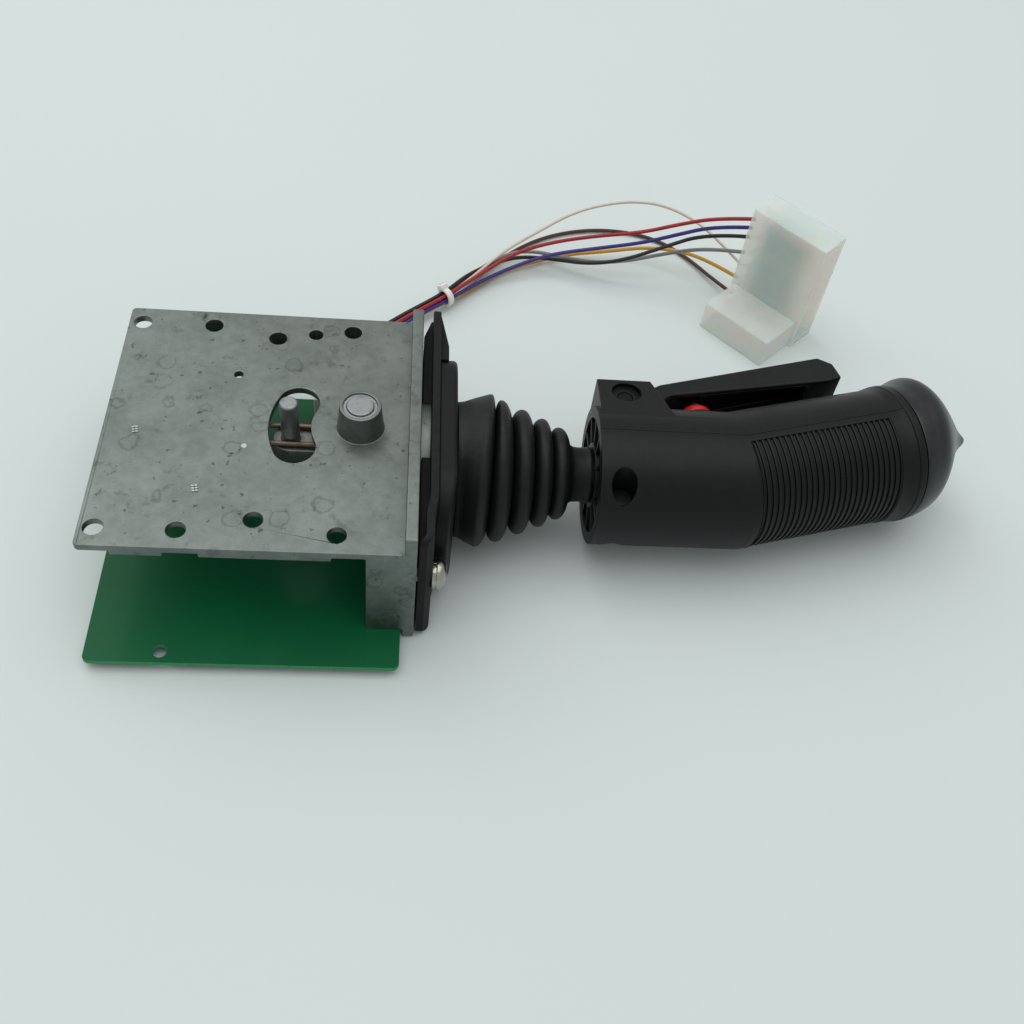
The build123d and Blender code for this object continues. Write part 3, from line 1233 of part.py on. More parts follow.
PIECES = (
    frame_casting, upper_bush, lower_bush, pivot_pin, pin_clip, thrust_washer, lever_hub,
    centring_post, centring_spring, lever_shaft, sensor_magnet, circuit_board, board_screws,
    board_washers, position_sensor, board_chips, board_capacitors, board_diodes, wire_header,
    panel_seal, boot_bezel, panel_screws, lock_washers, boot, front_shell, back_shell, handle_core,
    cross_pin, core_screws, shell_screws, trigger, trigger_pin, trigger_spring, red_button,
    button_switch, grip_collar, rocker_switch, rocker, rubber_cap, cable_tie, connector_housing,
    connector_terminals,
)

os.makedirs("parts", exist_ok=True)
for piece in PIECES:
    export_step(piece(), f"parts/{piece.__name__}.step")
for name in WIRE_SLOTS:
    export_step(wire(name), f"parts/{name}.step")
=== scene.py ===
"""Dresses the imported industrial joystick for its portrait: cast frame, boot, trigger grip and wire lead.

Lengths in the tables and fields are millimetres in the CAD frame, with X from the frame to the grip,
Y across the top plate and Z upwards. They are turned into metres where a mesh is made.
"""

import json
import logging
import math
from collections.abc import Callable, Iterable, Iterator, Sequence
from contextlib import contextmanager
from dataclasses import dataclass
from enum import Enum

import bmesh
import bpy
from mathutils import Matrix, Vector

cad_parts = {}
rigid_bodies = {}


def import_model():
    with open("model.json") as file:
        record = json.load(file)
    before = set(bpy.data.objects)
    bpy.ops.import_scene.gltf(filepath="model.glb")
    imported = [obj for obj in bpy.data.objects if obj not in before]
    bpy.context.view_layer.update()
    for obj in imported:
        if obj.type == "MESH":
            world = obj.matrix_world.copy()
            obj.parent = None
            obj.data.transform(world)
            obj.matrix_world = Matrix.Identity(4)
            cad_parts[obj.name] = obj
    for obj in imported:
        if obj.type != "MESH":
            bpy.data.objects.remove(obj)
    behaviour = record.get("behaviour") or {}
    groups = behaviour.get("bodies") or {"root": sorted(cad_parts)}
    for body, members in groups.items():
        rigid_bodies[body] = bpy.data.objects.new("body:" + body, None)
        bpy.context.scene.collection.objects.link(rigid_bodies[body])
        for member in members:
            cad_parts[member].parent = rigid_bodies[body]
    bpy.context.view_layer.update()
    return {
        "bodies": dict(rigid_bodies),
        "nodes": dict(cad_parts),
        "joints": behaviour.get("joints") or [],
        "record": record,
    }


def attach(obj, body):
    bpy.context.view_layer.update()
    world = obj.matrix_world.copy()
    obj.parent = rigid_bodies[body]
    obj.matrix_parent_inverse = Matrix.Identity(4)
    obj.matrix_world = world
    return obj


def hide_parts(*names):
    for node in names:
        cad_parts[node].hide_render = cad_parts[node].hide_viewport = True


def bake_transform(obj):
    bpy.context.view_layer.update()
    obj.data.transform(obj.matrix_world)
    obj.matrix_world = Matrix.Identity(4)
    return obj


LOG = logging.getLogger("joystick")
MM = 0.001
MERGE = 0.002 * MM
FLAT = math.radians(0.6)
SHARP = 32.0
SOFT = 40.0
BEND_X = 101.4
GRIP_TILT = math.radians(15.0)
GRIP = Matrix.Translation((BEND_X * MM, 0, 0)) @ Matrix.Rotation(GRIP_TILT, 4, "Z")
HERE = Matrix.Identity(4)
EVEN = (1.0, 1.0, 1.0)
Point = tuple[float, float, float]
Pair = tuple[float, float]
Four = tuple[float, float, float, float]
Piece = bpy.types.Object
Nodes = dict[str, Piece]


# Shader maths


def colour(code: str) -> Four:
    """The linear colour of an sRGB code such as #a0a3a1."""
    channels = [int(code[at : at + 2], 16) / 255 for at in (1, 3, 5)]
    linear = [c / 12.92 if c <= 0.04045 else ((c + 0.055) / 1.055) ** 2.4 for c in channels]
    return (linear[0], linear[1], linear[2], 1.0)


def arithmetic(operation: str, swapped: bool = False) -> Callable:
    """A method of Value that adds one Math node, with its two numbers in either order."""

    def method(value: "Value", other: "Value | float") -> "Value":
        """The node's output."""
        first, second = (other, value) if swapped else (value, other)
        return value.shader.node("ShaderNodeMath", {"operation": operation}, {0: first, 1: second})

    return method


class Value:
    """A node's output, whose arithmetic adds Math nodes."""

    def __init__(self, shader: "Shader", socket: bpy.types.NodeSocket) -> None:
        """Keeps the socket and the shader that it belongs to."""
        self.shader = shader
        self.socket = socket

    __add__, __radd__ = arithmetic("ADD"), arithmetic("ADD", swapped=True)
    __sub__, __rsub__ = arithmetic("SUBTRACT"), arithmetic("SUBTRACT", swapped=True)
    __mul__, __rmul__ = arithmetic("MULTIPLY"), arithmetic("MULTIPLY", swapped=True)


class Shader:
    """One material's node tree."""

    def __init__(self, name: str) -> None:
        """Starts an empty material."""
        self.material = bpy.data.materials.new(name)
        self.material.use_nodes = True
        self.tree = self.material.node_tree
        self.tree.nodes.clear()

    def node(
        self, kind: str, settings: dict | None = None, sockets: dict | None = None, output: int | str = 0
    ) -> Value:
        """Adds a node.

        Args:
            kind: the node's type.
            settings: its properties, set first.
            sockets: numbers, colour codes or Values by socket name or index.
            output: which output to hand on.

        Returns:
            The chosen output.
        """
        made = self.tree.nodes.new(kind)
        for name, value in (settings or {}).items():
            setattr(made, name, value)
        for name, value in (sockets or {}).items():
            if isinstance(value, Value):
                self.tree.links.new(value.socket, made.inputs[name])
            else:
                made.inputs[name].default_value = colour(value) if isinstance(value, str) else value
        return Value(self, made.outputs[output])

    def place(self, stretch: Point = EVEN) -> Value:
        """The object's own coordinates in millimetres, stretched by a factor along each axis."""
        at = self.node("ShaderNodeTexCoord", output="Object")
        scale = tuple(factor / MM for factor in stretch)
        return self.node("ShaderNodeMapping", {"vector_type": "POINT"}, {"Vector": at, "Scale": scale})

    def noise(self, scale: float, detail: float = 3.0, rough: float = 0.5, stretch: Point = EVEN) -> Value:
        """Noise from 0 to 1.

        Args:
            scale: how many features a millimetre holds.
            detail: octaves.
            rough: how strong the finer octaves are.
            stretch: a factor along each axis.

        Returns:
            The noise.
        """
        sockets = {"Vector": self.place(stretch), "Scale": scale, "Detail": detail, "Roughness": rough}
        return self.node("ShaderNodeTexNoise", {"noise_dimensions": "3D"}, sockets)

    def cells(self, scale: float, output: str = "Distance") -> Value:
        """Distance to the nearest cell centre, or a random value of each cell."""
        sockets = {"Vector": self.place(), "Scale": scale}
        return self.node("ShaderNodeTexVoronoi", {"feature": "F1"}, sockets, output)

    def step(self, value: Value, low: float, high: float) -> Value:
        """A smooth step of a value from 0 at low to 1 at high."""
        sockets = {"Value": value, "From Min": low, "From Max": high}
        return self.node("ShaderNodeMapRange", {"interpolation_type": "SMOOTHSTEP"}, sockets)

    def mix(self, factor: Value | float, first: Value | str, second: Value | str) -> Value:
        """A colour between two, by a factor."""
        settings = {"data_type": "RGBA", "clamp_factor": True}
        return self.node("ShaderNodeMix", settings, {0: factor, 6: first, 7: second}, 2)

    def facing(self, axis: int) -> Value:
        """One part of the surface's direction."""
        normal = self.node("ShaderNodeNewGeometry", output="Normal")
        return self.node("ShaderNodeSeparateXYZ", sockets={0: normal}, output=axis)

    def bump(self, height: Value, depth: float, strength: float) -> Value:
        """A normal bumped by a height from 0 to 1 that stands for a depth in millimetres."""
        sockets = {"Strength": strength, "Distance": depth * MM, "Height": height}
        return self.node("ShaderNodeBump", sockets=sockets)

    def surface(self, sockets: dict) -> None:
        """Ends the tree with a Principled surface of these sockets."""
        shader = self.node("ShaderNodeBsdfPrincipled", sockets=sockets)
        end = self.tree.nodes.new("ShaderNodeOutputMaterial")
        self.tree.links.new(shader.socket, end.inputs["Surface"])


# Finishes


@dataclass(frozen=True)
class Finish:
    """A surface finish, which makes its material once."""

    name: str

    def nodes(self, shader: Shader) -> None:
        """Fills in the finish's nodes."""
        raise NotImplementedError

    def material(self) -> bpy.types.Material:
        """The finish's material, made when it is first asked for."""
        label = self.name + "_finish"
        found = bpy.data.materials.get(label)
        if found is None:
            shader = Shader(label)
            self.nodes(shader)
            found = shader.material
        return found


@dataclass(frozen=True)
class CastZinc(Finish):
    """Die cast zinc, mottled, with ring shaped stains from the mould's release agent."""

    pale: str = "#7f8682"
    grey: str = "#666d69"
    stain: str = "#2f3432"

    def nodes(self, shader: Shader) -> None:
        """Mottled base, rings, dark blotches and a grainy bump."""
        broad = shader.noise(0.05, 4.0, 0.6)
        mottle = shader.noise(0.32, 6.0, 0.7)
        grain = shader.noise(2.2, 3.0)
        cloudy = shader.step(broad * 0.5 + mottle * 0.5, 0.3, 0.7)
        base = shader.mix(cloudy, self.grey, self.pale)
        warped = shader.cells(0.11) + (shader.noise(0.3, 4.0, 0.6) - 0.5) * 0.5
        ring = shader.step(warped, 0.24, 0.29) * (1 - shader.step(warped, 0.3, 0.37))
        chosen = shader.step(shader.cells(0.11, "Color"), 0.5, 0.6)
        blotch = shader.step(shader.noise(0.14, 6.0, 0.66), 0.57, 0.7)
        spots = shader.step(shader.noise(0.42, 3.0), 0.66, 0.71)
        marks = ring * chosen * 0.26 + blotch * 0.3 + spots * 0.5
        tone = shader.mix(marks, base, self.stain)
        rough = 0.36 + marks * 0.22 + mottle * 0.16
        height = grain * 0.5 + mottle * 0.5
        normal = shader.bump(height, 0.05, 0.6)
        shader.surface({"Base Color": tone, "Metallic": 0.92, "Roughness": rough, "Normal": normal})


@dataclass(frozen=True)
class Moulded(Finish):
    """Moulded plastic or rubber with a fine grain."""

    tone: str = "#141518"
    light: str = "#1d1f22"
    rough: float = 0.45
    grain: float = 1.8
    depth: float = 0.02
    dust: float = 0.0
    coat: float = 0.0
    scatter: float = 0.0
    shine: float = 0.5

    def nodes(self, shader: Shader) -> None:
        """Uneven colour, grain, and dust on what faces up."""
        fine = shader.noise(self.grain, 4.0, 0.6)
        broad = shader.noise(0.07, 3.0)
        tone = shader.mix(broad * 0.7 + fine * 0.3, self.tone, self.light)
        rough = self.rough + (broad - 0.5) * 0.14 + (fine - 0.5) * 0.1
        if self.dust:
            patches = shader.noise(0.4, 5.0, 0.7)
            lying = shader.step(shader.facing(2), 0.1, 0.9) * shader.step(patches, 0.3, 0.75)
            tone = shader.mix(lying * self.dust, tone, "#8d8f90")
        sockets = {
            "Base Color": tone, "Roughness": rough, "Normal": shader.bump(fine, self.depth, 0.7),
            "Specular IOR Level": self.shine,
        }
        if self.coat:
            sockets |= {"Coat Weight": self.coat, "Coat Roughness": 0.12}
        if self.scatter:
            sockets |= {"Subsurface Weight": self.scatter, "Subsurface Scale": 0.002}
        shader.surface(sockets)


@dataclass(frozen=True)
class Metal(Finish):
    """Drawn, turned or plated metal."""

    tone: str = "#a9abad"
    dark: str = "#7c7f82"
    rough: float = 0.3
    stretch: Point = (1.0, 1.0, 0.06)

    def nodes(self, shader: Shader) -> None:
        """Fine streaks along the drawn direction and faint handling marks."""
        streak = shader.noise(3.0, 3.0, 0.6, self.stretch)
        marks = shader.step(shader.noise(0.4, 5.0, 0.65), 0.5, 0.72)
        tone = shader.mix(streak * 0.4 + marks * 0.5, self.tone, self.dark)
        rough = self.rough + streak * 0.12 + marks * 0.14
        normal = shader.bump(streak, 0.012, 0.6)
        shader.surface({"Base Color": tone, "Metallic": 1.0, "Roughness": rough, "Normal": normal})


@dataclass(frozen=True)
class BoardGreen(Finish):
    """Green solder mask on fibreglass, whose cut edge is paler."""

    mask: str = "#016339"
    deep: str = "#01522f"
    edge: str = "#3f9a5f"

    def nodes(self, shader: Shader) -> None:
        """Mask over faint copper, with the weave showing at the edge."""
        flat = shader.step(shader.facing(2) * shader.facing(2), 0.4, 0.7)
        weave = shader.noise(0.9, 2.0, 0.4, (1.0, 6.0, 1.0))
        broad = shader.noise(0.03, 2.0)
        face = shader.mix(broad * 0.7 + weave * 0.25, self.mask, self.deep)
        side = shader.mix(weave, self.edge, "#2f8355")
        shader.surface({
            "Base Color": shader.mix(flat, side, face), "Roughness": 0.66 - flat * 0.2 + weave * 0.06,
            "Normal": shader.bump(weave, 0.012, 0.5), "Coat Weight": flat * 0.06, "Coat Roughness": 0.2,
            "Specular IOR Level": 0.2,
        })


@dataclass(frozen=True)
class Insulation(Finish):
    """A wire's vinyl insulation."""

    tone: str = "#a01822"
    dark: str = "#7a1119"

    def nodes(self, shader: Shader) -> None:
        """Slightly uneven vinyl with a soft shine."""
        fine = shader.noise(0.9, 3.0)
        tone = shader.mix(fine, self.dark, self.tone)
        shader.surface({
            "Base Color": tone, "Roughness": 0.34 + fine * 0.14, "Normal": shader.bump(fine, 0.03, 0.5),
            "Subsurface Weight": 0.05, "Subsurface Scale": 0.001,
        })


@dataclass(frozen=True)
class ClearNylon(Finish):
    """Milky, half clear nylon."""

    tone: str = "#f6f6ef"
    haze: str = "#efefe6"
    cover: float = 0.42

    def nodes(self, shader: Shader) -> None:
        """Cloudy nylon with a frosted skin."""
        cloud = shader.noise(0.12, 3.0)
        fine = shader.noise(1.4, 3.0)
        shader.surface({
            "Base Color": shader.mix(cloud, self.tone, self.haze),
            "Roughness": 0.36 + fine * 0.12, "IOR": 1.3,
            "Alpha": self.cover + cloud * 0.1, "Normal": shader.bump(fine, 0.02, 0.4),
            "Subsurface Weight": 0.8, "Subsurface Scale": 0.015, "Specular IOR Level": 0.2,
        })


@dataclass(frozen=True)
class BenchTop(Finish):
    """The plain pale bench."""

    tone: str = "#d8e1df"
    shade: str = "#d5dfdd"

    def nodes(self, shader: Shader) -> None:
        """An almost even pale tone."""
        cloud = shader.noise(0.004, 2.0)
        shader.surface({
            "Base Color": shader.mix(cloud, self.tone, self.shade),
            "Roughness": 0.7, "Specular IOR Level": 0.25,
        })


ZINC = CastZinc("cast_zinc")
# Lighter copy of the cast zinc for the raised cast marks: painted highlight, for the light that their edges
# catch.
HIGHLIT_ZINC = CastZinc("cast_zinc_worn", "#bcc2be", "#a0a6a2", "#737976")
HUB_METAL = CastZinc("hub_metal", "#7d807d", "#5f6261", "#3b3e3d")
STEEL = Metal("steel", "#c3c5c6", "#8f9294", 0.24)
# Steel painted nearly black for the screws and the pin deep in their wells: painted shade of the wells.
WELL_SHADE_STEEL = Metal("black_steel", "#2b2c2e", "#18191a", 0.42)
DULL_STEEL = Metal("dull_steel", "#9c9fa0", "#6d7072", 0.4)
SPRING_STEEL = Metal("spring_steel", "#7a6a58", "#54473a", 0.36, EVEN)
BRONZE = Metal("bronze", "#a58a62", "#77603f", 0.34)
PLATED = Metal("zinc_plated", "#b3b2a8", "#77777a", 0.16, EVEN)
MAGNET = Metal("magnet", "#8b8d90", "#606366", 0.3, EVEN)
TIN = Metal("terminal_tin", "#b9bab6", "#8d8f8d", 0.3, EVEN)
CAN = Metal("can_metal", "#aeb0b2", "#85888b", 0.28, (1.0, 1.0, 0.1))
BOARD = BoardGreen("board_green")
CHIP = Moulded("chip_black", "#18191b", "#202224", 0.55, 2.5, 0.015)
HEADER = Moulded("header_nylon", "#d9d6c8", "#e6e3d8", 0.42, 1.2, 0.02, scatter=0.08)
SEAL = Moulded("seal_rubber", "#0c0d0e", "#131415", 0.6, 1.1, 0.04, dust=0.02, shine=0.2)
BEZEL = Moulded("bezel_plastic", "#090a0b", "#0f1011", 0.45, 1.6, 0.02, dust=0.01, shine=0.2)
BOOT = Moulded("boot_rubber", "#0a0c0c", "#111414", 0.5, 0.9, 0.05, dust=0.025, shine=0.26)
GRIP_PLASTIC = Moulded("grip_plastic", "#070909", "#0d100f", 0.42, 1.9, 0.03, dust=0.01, shine=0.24)
CORE = Moulded("core_plastic", "#1a1b1d", "#242628", 0.5, 1.6, 0.02)
TRIGGER = Moulded("trigger_plastic", "#090b0b", "#0f1312", 0.38, 1.9, 0.02, dust=0.01, shine=0.28)
RED = Moulded("button_red", "#c5161b", "#d8231f", 0.3, 1.2, 0.01, coat=0.4, scatter=0.05)
SWITCH = Moulded("switch_black", "#141517", "#1e1f22", 0.4, 1.6, 0.02)
CAP = Moulded("cap_rubber", "#121515", "#1e2324", 0.36, 0.7, 0.04, dust=0.03, coat=0.14, shine=0.34)
TIE = Moulded("tie_nylon", "#e6e7e2", "#f1f1ec", 0.4, 1.2, 0.02, scatter=0.1)
NYLON = ClearNylon("connector_nylon")
INNER_NYLON = ClearNylon("connector_cells", "#f2f2ea", "#e9e9df", 0.3)
FLOOR_FINISH = BenchTop("bench_top")


# Modelling tools


def only(piece: Piece) -> None:
    """Selects one object and nothing else."""
    bpy.ops.object.select_all(action="DESELECT")
    piece.hide_set(False)
    piece.select_set(True)
    bpy.context.view_layer.objects.active = piece


class Pick(Enum):
    """What edit mode selects."""

    POINT = "VERT"
    EDGE = "EDGE"
    FACE = "FACE"


@contextmanager
def editing(piece: Piece, pick: Pick = Pick.FACE) -> Iterator[None]:
    """Edit mode on one object with all of it selected."""
    only(piece)
    bpy.ops.object.mode_set(mode="EDIT")
    bpy.ops.mesh.select_mode(type=pick.value)
    bpy.ops.mesh.select_all(action="SELECT")
    yield
    bpy.ops.object.mode_set(mode="OBJECT")


def displaced(piece: Piece, shift: Callable[[Vector], Vector]) -> Piece:
    """Moves each point of a piece by a shift that depends on its place, all in millimetres."""
    with editing(piece, Pick.POINT):
        mesh = bmesh.from_edit_mesh(piece.data)
        for point in mesh.verts:
            point.co += shift(point.co / MM) * MM
        bmesh.update_edit_mesh(piece.data)
    return piece


def sliced(piece: Piece, places: Iterable[float]) -> Piece:
    """Cuts a piece's faces across at places along Y, so that it can bend there."""
    with editing(piece, Pick.EDGE):
        for place in places:
            bpy.ops.mesh.select_all(action="SELECT")
            bpy.ops.mesh.bisect(plane_co=(0, place * MM, 0), plane_no=(0, 1, 0))
    return piece


def ramp(value: float, start: float, end: float) -> float:
    """A smooth step from 0 at the start to 1 at the end."""
    share = min(max((value - start) / (end - start), 0.0), 1.0)
    return share * share * (3 - 2 * share)


def named(name: str) -> Piece:
    """Names the new active object and its mesh."""
    piece = bpy.context.active_object
    piece.name = name
    piece.data.name = name
    return piece


def settle(piece: Piece, frame: Matrix = HERE) -> Piece:
    """Turns a piece into a frame and puts its place into its mesh."""
    only(piece)
    piece.matrix_world = frame @ piece.matrix_world
    bpy.ops.object.transform_apply(location=True, rotation=True, scale=True)
    return piece


def tidy(piece: Piece) -> Piece:
    """Merges doubled points and turns the faces outwards."""
    with editing(piece, Pick.POINT):
        bpy.ops.mesh.remove_doubles(threshold=MERGE)
        bpy.ops.mesh.normals_make_consistent(inside=False)
    return piece


def apply(piece: Piece, kind: str, **settings: object) -> Piece:
    """Adds a modifier with these settings and applies it."""
    only(piece)
    modifier = piece.modifiers.new(kind.lower(), kind)
    for name, value in settings.items():
        setattr(modifier, name, value)
    bpy.ops.object.modifier_apply(modifier=modifier.name)
    return piece


def soften(piece: Piece, width: float, segments: int = 2, angle: float = 35.0) -> Piece:
    """Rounds a piece's sharp edges.

    Args:
        piece: the piece.
        width: the rounding's width in millimetres.
        segments: steps of the rounding.
        angle: edges that turn by more than this many degrees are rounded.

    Returns:
        The piece.
    """
    return apply(
        piece, "BEVEL", width=width * MM, segments=segments, angle_limit=math.radians(angle),
        limit_method="ANGLE", use_clamp_overlap=False, miter_outer="MITER_ARC", harden_normals=False,
    )


def outline(name: str, points: Sequence[Point]) -> Piece:
    """A chain of points in millimetres, drawn by extruding one point on from place to place."""
    bpy.ops.object.select_all(action="DESELECT")
    bpy.ops.mesh.primitive_plane_add(size=MM, location=(0, 0, 0))
    piece = named(name)
    places = [Vector(point) * MM for point in points]
    with editing(piece, Pick.POINT):
        bpy.ops.mesh.merge(type="CENTER")
        bpy.ops.transform.translate(value=places[0])
        for before, after in zip(places, places[1:]):
            bpy.ops.mesh.extrude_region_move(TRANSFORM_OT_translate={"value": after - before})
    return piece


def turned(name: str, profile: Sequence[Pair], frame: Matrix = HERE, steps: int = 64) -> Piece:
    """A piece spun about its frame's X axis.

    Args:
        name: the piece's name.
        profile: (along, radius) in millimetres.
        frame: where its axis lies.
        steps: sides of the turned piece.

    Returns:
        The piece.
    """
    piece = outline(name, [(along, 0.0, radius) for along, radius in profile])
    with editing(piece, Pick.EDGE):
        bpy.ops.mesh.spin(steps=steps, angle=math.tau, center=(0, 0, 0), axis=(1, 0, 0))
    return settle(tidy(piece), frame)


def prism(name: str, corners: Sequence[Pair], depth: Pair, frame: Matrix = HERE) -> Piece:
    """An outline in its frame's XY plane, filled and extruded along Z between two levels."""
    piece = outline(name, [(x, y, depth[0]) for x, y in corners])
    with editing(piece, Pick.EDGE):
        bpy.ops.mesh.edge_face_add()
        bpy.ops.mesh.select_all(action="SELECT")
        bpy.ops.mesh.extrude_region_move(TRANSFORM_OT_translate={"value": (0, 0, (depth[1] - depth[0]) * MM)})
    return settle(tidy(piece), frame)


def slab(name: str, low: Point, high: Point, edge: float, frame: Matrix = HERE) -> Piece:
    """A block with rounded edges.

    Args:
        name: the piece's name.
        low: its lowest corner.
        high: its highest corner.
        edge: the rounding of its edges.
        frame: the frame of those corners.

    Returns:
        The piece.
    """
    middle = (Vector(low) + Vector(high)) * MM / 2
    bpy.ops.object.select_all(action="DESELECT")
    bpy.ops.mesh.primitive_cube_add(size=1.0, location=middle)
    piece = named(name)
    piece.scale = (Vector(high) - Vector(low)) * MM
    settle(piece)
    with editing(piece, Pick.EDGE):
        bpy.ops.mesh.bevel(offset=edge * MM, segments=2, affect="EDGES")
    return settle(piece, frame)


def at(x: float = 0.0, y: float = 0.0, z: float = 0.0, turn: float = 0.0, axis: str = "Z") -> Matrix:
    """A frame at a place in millimetres, turned by some degrees about an axis."""
    return Matrix.Translation(Vector((x, y, z)) * MM) @ Matrix.Rotation(math.radians(turn), 4, axis)


def along_y(x: float) -> Matrix:
    """A frame at a place on the X axis whose own X axis runs along Y."""
    return at(x, turn=90)


def along_z(x: float, y: float, z: float = 0.0) -> Matrix:
    """A frame at a place whose own X axis runs along Z."""
    return at(x, y, z, -90, "Y")


def twin_of(piece: Piece, name: str) -> Piece:
    """A copy with its own mesh."""
    twin = bpy.data.objects.new(name, piece.data.copy())
    twin.data.name = name
    bpy.context.scene.collection.objects.link(twin)
    return twin


def copy_of(node: str, name: str) -> Piece:
    """A merged copy of a CAD node's mesh, ready to be rounded."""
    twin = twin_of(bpy.data.objects[node], name)
    only(twin)
    if twin.data.has_custom_normals:
        bpy.ops.mesh.customdata_custom_splitnormals_clear()
    with editing(twin, Pick.POINT):
        bpy.ops.mesh.remove_doubles(threshold=MERGE)
        bpy.ops.mesh.dissolve_limited(angle_limit=FLAT)
    return twin


def joined(name: str, pieces: Sequence[Piece]) -> Piece:
    """Joins several pieces into one object."""
    only(pieces[0])
    for piece in pieces[1:]:
        piece.select_set(True)
    if len(pieces) > 1:
        bpy.ops.object.join()
    return named(name)


def repeated(piece: Piece, frames: Sequence[Matrix]) -> Piece:
    """A piece with copies of it at more frames, as one object."""
    name = piece.name
    twins = [settle(twin_of(piece, f"{name}_{index}"), frame) for index, frame in enumerate(frames)]
    return joined(name, [piece, *twins])


def spread(piece: Piece, places: Sequence[Pair]) -> Piece:
    """A piece that stands at the first of several places, with copies of it at the others."""
    (x, y), *rest = places
    return repeated(piece, [at(other_x - x, other_y - y) for other_x, other_y in rest])


def leaning_skin(name: str, profile: Sequence[Pair], lean: Callable[[Vector], Vector], wall: float) -> Piece:
    """A turned skin of some thickness, whose points lean off its axis."""
    skin = displaced(turned(name, profile), lean)
    apply(skin, "SOLIDIFY", thickness=wall * MM, offset=-1.0)
    return apply(skin, "SUBSURF", levels=1, render_levels=1)


def cut(piece: Piece, tool: Piece) -> Piece:
    """Cuts a tool from a piece and removes the tool."""
    apply(piece, "BOOLEAN", object=tool, operation="DIFFERENCE", solver="EXACT")
    bpy.data.objects.remove(tool)
    return piece


def smooth(piece: Piece, angle: float) -> None:
    """Shades a piece smooth where it turns by less than an angle, and keeps its flats flat."""
    only(piece)
    bpy.ops.object.shade_smooth_by_angle(angle=math.radians(angle))
    apply(piece, "WEIGHTED_NORMAL", mode="FACE_AREA", weight=50, keep_sharp=True)


def dress(piece: Piece, finish: Finish) -> None:
    """Gives a piece one finish all over."""
    material = finish.material()
    for index in range(len(piece.data.materials)):
        piece.data.materials[index] = material
    if not piece.data.materials:
        piece.data.materials.append(material)


def fit(piece: Piece, body: str, finish: Finish, slot: str, *nodes: str, angle: float = SHARP) -> Piece:
    """Finishes a piece and hands it to the frame.

    Args:
        piece: the piece.
        body: the CAD body that it rides on.
        finish: its surface.
        slot: the record's material slot; not used.
        nodes: the CAD nodes that it stands for.
        angle: edges that turn by more stay sharp.

    Returns:
        The piece.
    """
    if piece.type == "MESH":
        smooth(piece, angle)
    dress(piece, finish)
    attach(piece, body)
    if nodes:
        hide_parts(*nodes)
    LOG.info("%s rides on %s", piece.name, body)
    return piece


def rounded(
    node: str, name: str, width: float, body: str, finish: Finish, slot: str,
    segments: int = 2, edge: float = 35.0, angle: float = SHARP,
) -> Piece:
    """Puts a rounded copy in a CAD node's place.

    Args:
        node: the CAD node.
        name: the copy's name.
        width: the rounding's width in millimetres.
        body: the CAD body that it rides on.
        finish: its surface.
        slot: the record's material slot.
        segments: steps of the rounding.
        edge: edges that turn by more than this many degrees are rounded.
        angle: edges that turn by more stay sharp in the shading.

    Returns:
        The copy.
    """
    return fit(soften(copy_of(node, name), width, segments, edge), body, finish, slot, node, angle=angle)


def bend_between(
    piece: Piece, bodies: tuple[str, str], ends: tuple[Point, Point], finish: Finish, slot: str, *nodes: str
) -> None:
    """Finishes a soft piece that joins two bodies, and puts its place into its mesh."""
    smooth(piece, SOFT)
    dress(piece, finish)
    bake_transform(piece)
    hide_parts(*nodes)
    LOG.info("%s bends between %s and %s", piece.name, *bodies)


def keep(nodes: Nodes, finish: Finish, *names: str) -> None:
    """Dresses CAD nodes that stay as they are."""
    for name in names:
        dress(nodes[name], finish)
        LOG.info("%s keeps its shape", name)


# Sub-assemblies


@dataclass
class Casting:
    """The die cast frame with its cast marks."""

    rounding: float = 0.4
    plate_top: float = 18.0
    marks_at: tuple[Pair, ...] = ((-84.0, -4.8), (-63.7, -26.4))
    marks_turn: float = 12
    mark_half: float = 1.3
    pip: Point = (0.9, 0.7, 0.3)
    pip_edge: float = 0.12
    pip_pitch: float = 0.95
    sunk: float = 0.2
    dot: Point = (-52.1, -9.7, 1.0)
    dot_rim: Point = (0.1, 0.25, 0.2)

    def marks(self) -> Piece:
        """The small cast marks on the plate: two squares of six pips each, and a dot."""
        start, top = -self.mark_half, self.plate_top
        length, width, height = self.pip
        low = (start, start, top - self.sunk)
        pip = slab("cast_marks", low, (start + length, start + width, top + height), self.pip_edge)
        steps = [(column * self.pip_pitch, row * self.pip_pitch) for column in range(2) for row in range(3)]
        grid = spread(pip, steps)
        settle(grid, at(*self.marks_at[0], turn=self.marks_turn))
        squares = spread(grid, self.marks_at)
        x, y, radius = self.dot
        side, face, bevel = self.dot_rim
        rim = [
            (top - self.sunk, 0), (top - self.sunk, radius), (top + side, radius),
            (top + face, radius - bevel), (top + face, 0),
        ]
        return joined("cast_marks", [squares, turned("dot", rim, along_z(x, y), 24)])

    def build(self, nodes: Nodes) -> None:
        """Builds and dresses the casting."""
        rounded("frame_casting", "casting", self.rounding, "frame", ZINC, "cast_zinc", angle=30)
        # The cast marks take the lighter zinc, a painted highlight.
        fit(self.marks(), "frame", HIGHLIT_ZINC, "cast_zinc")


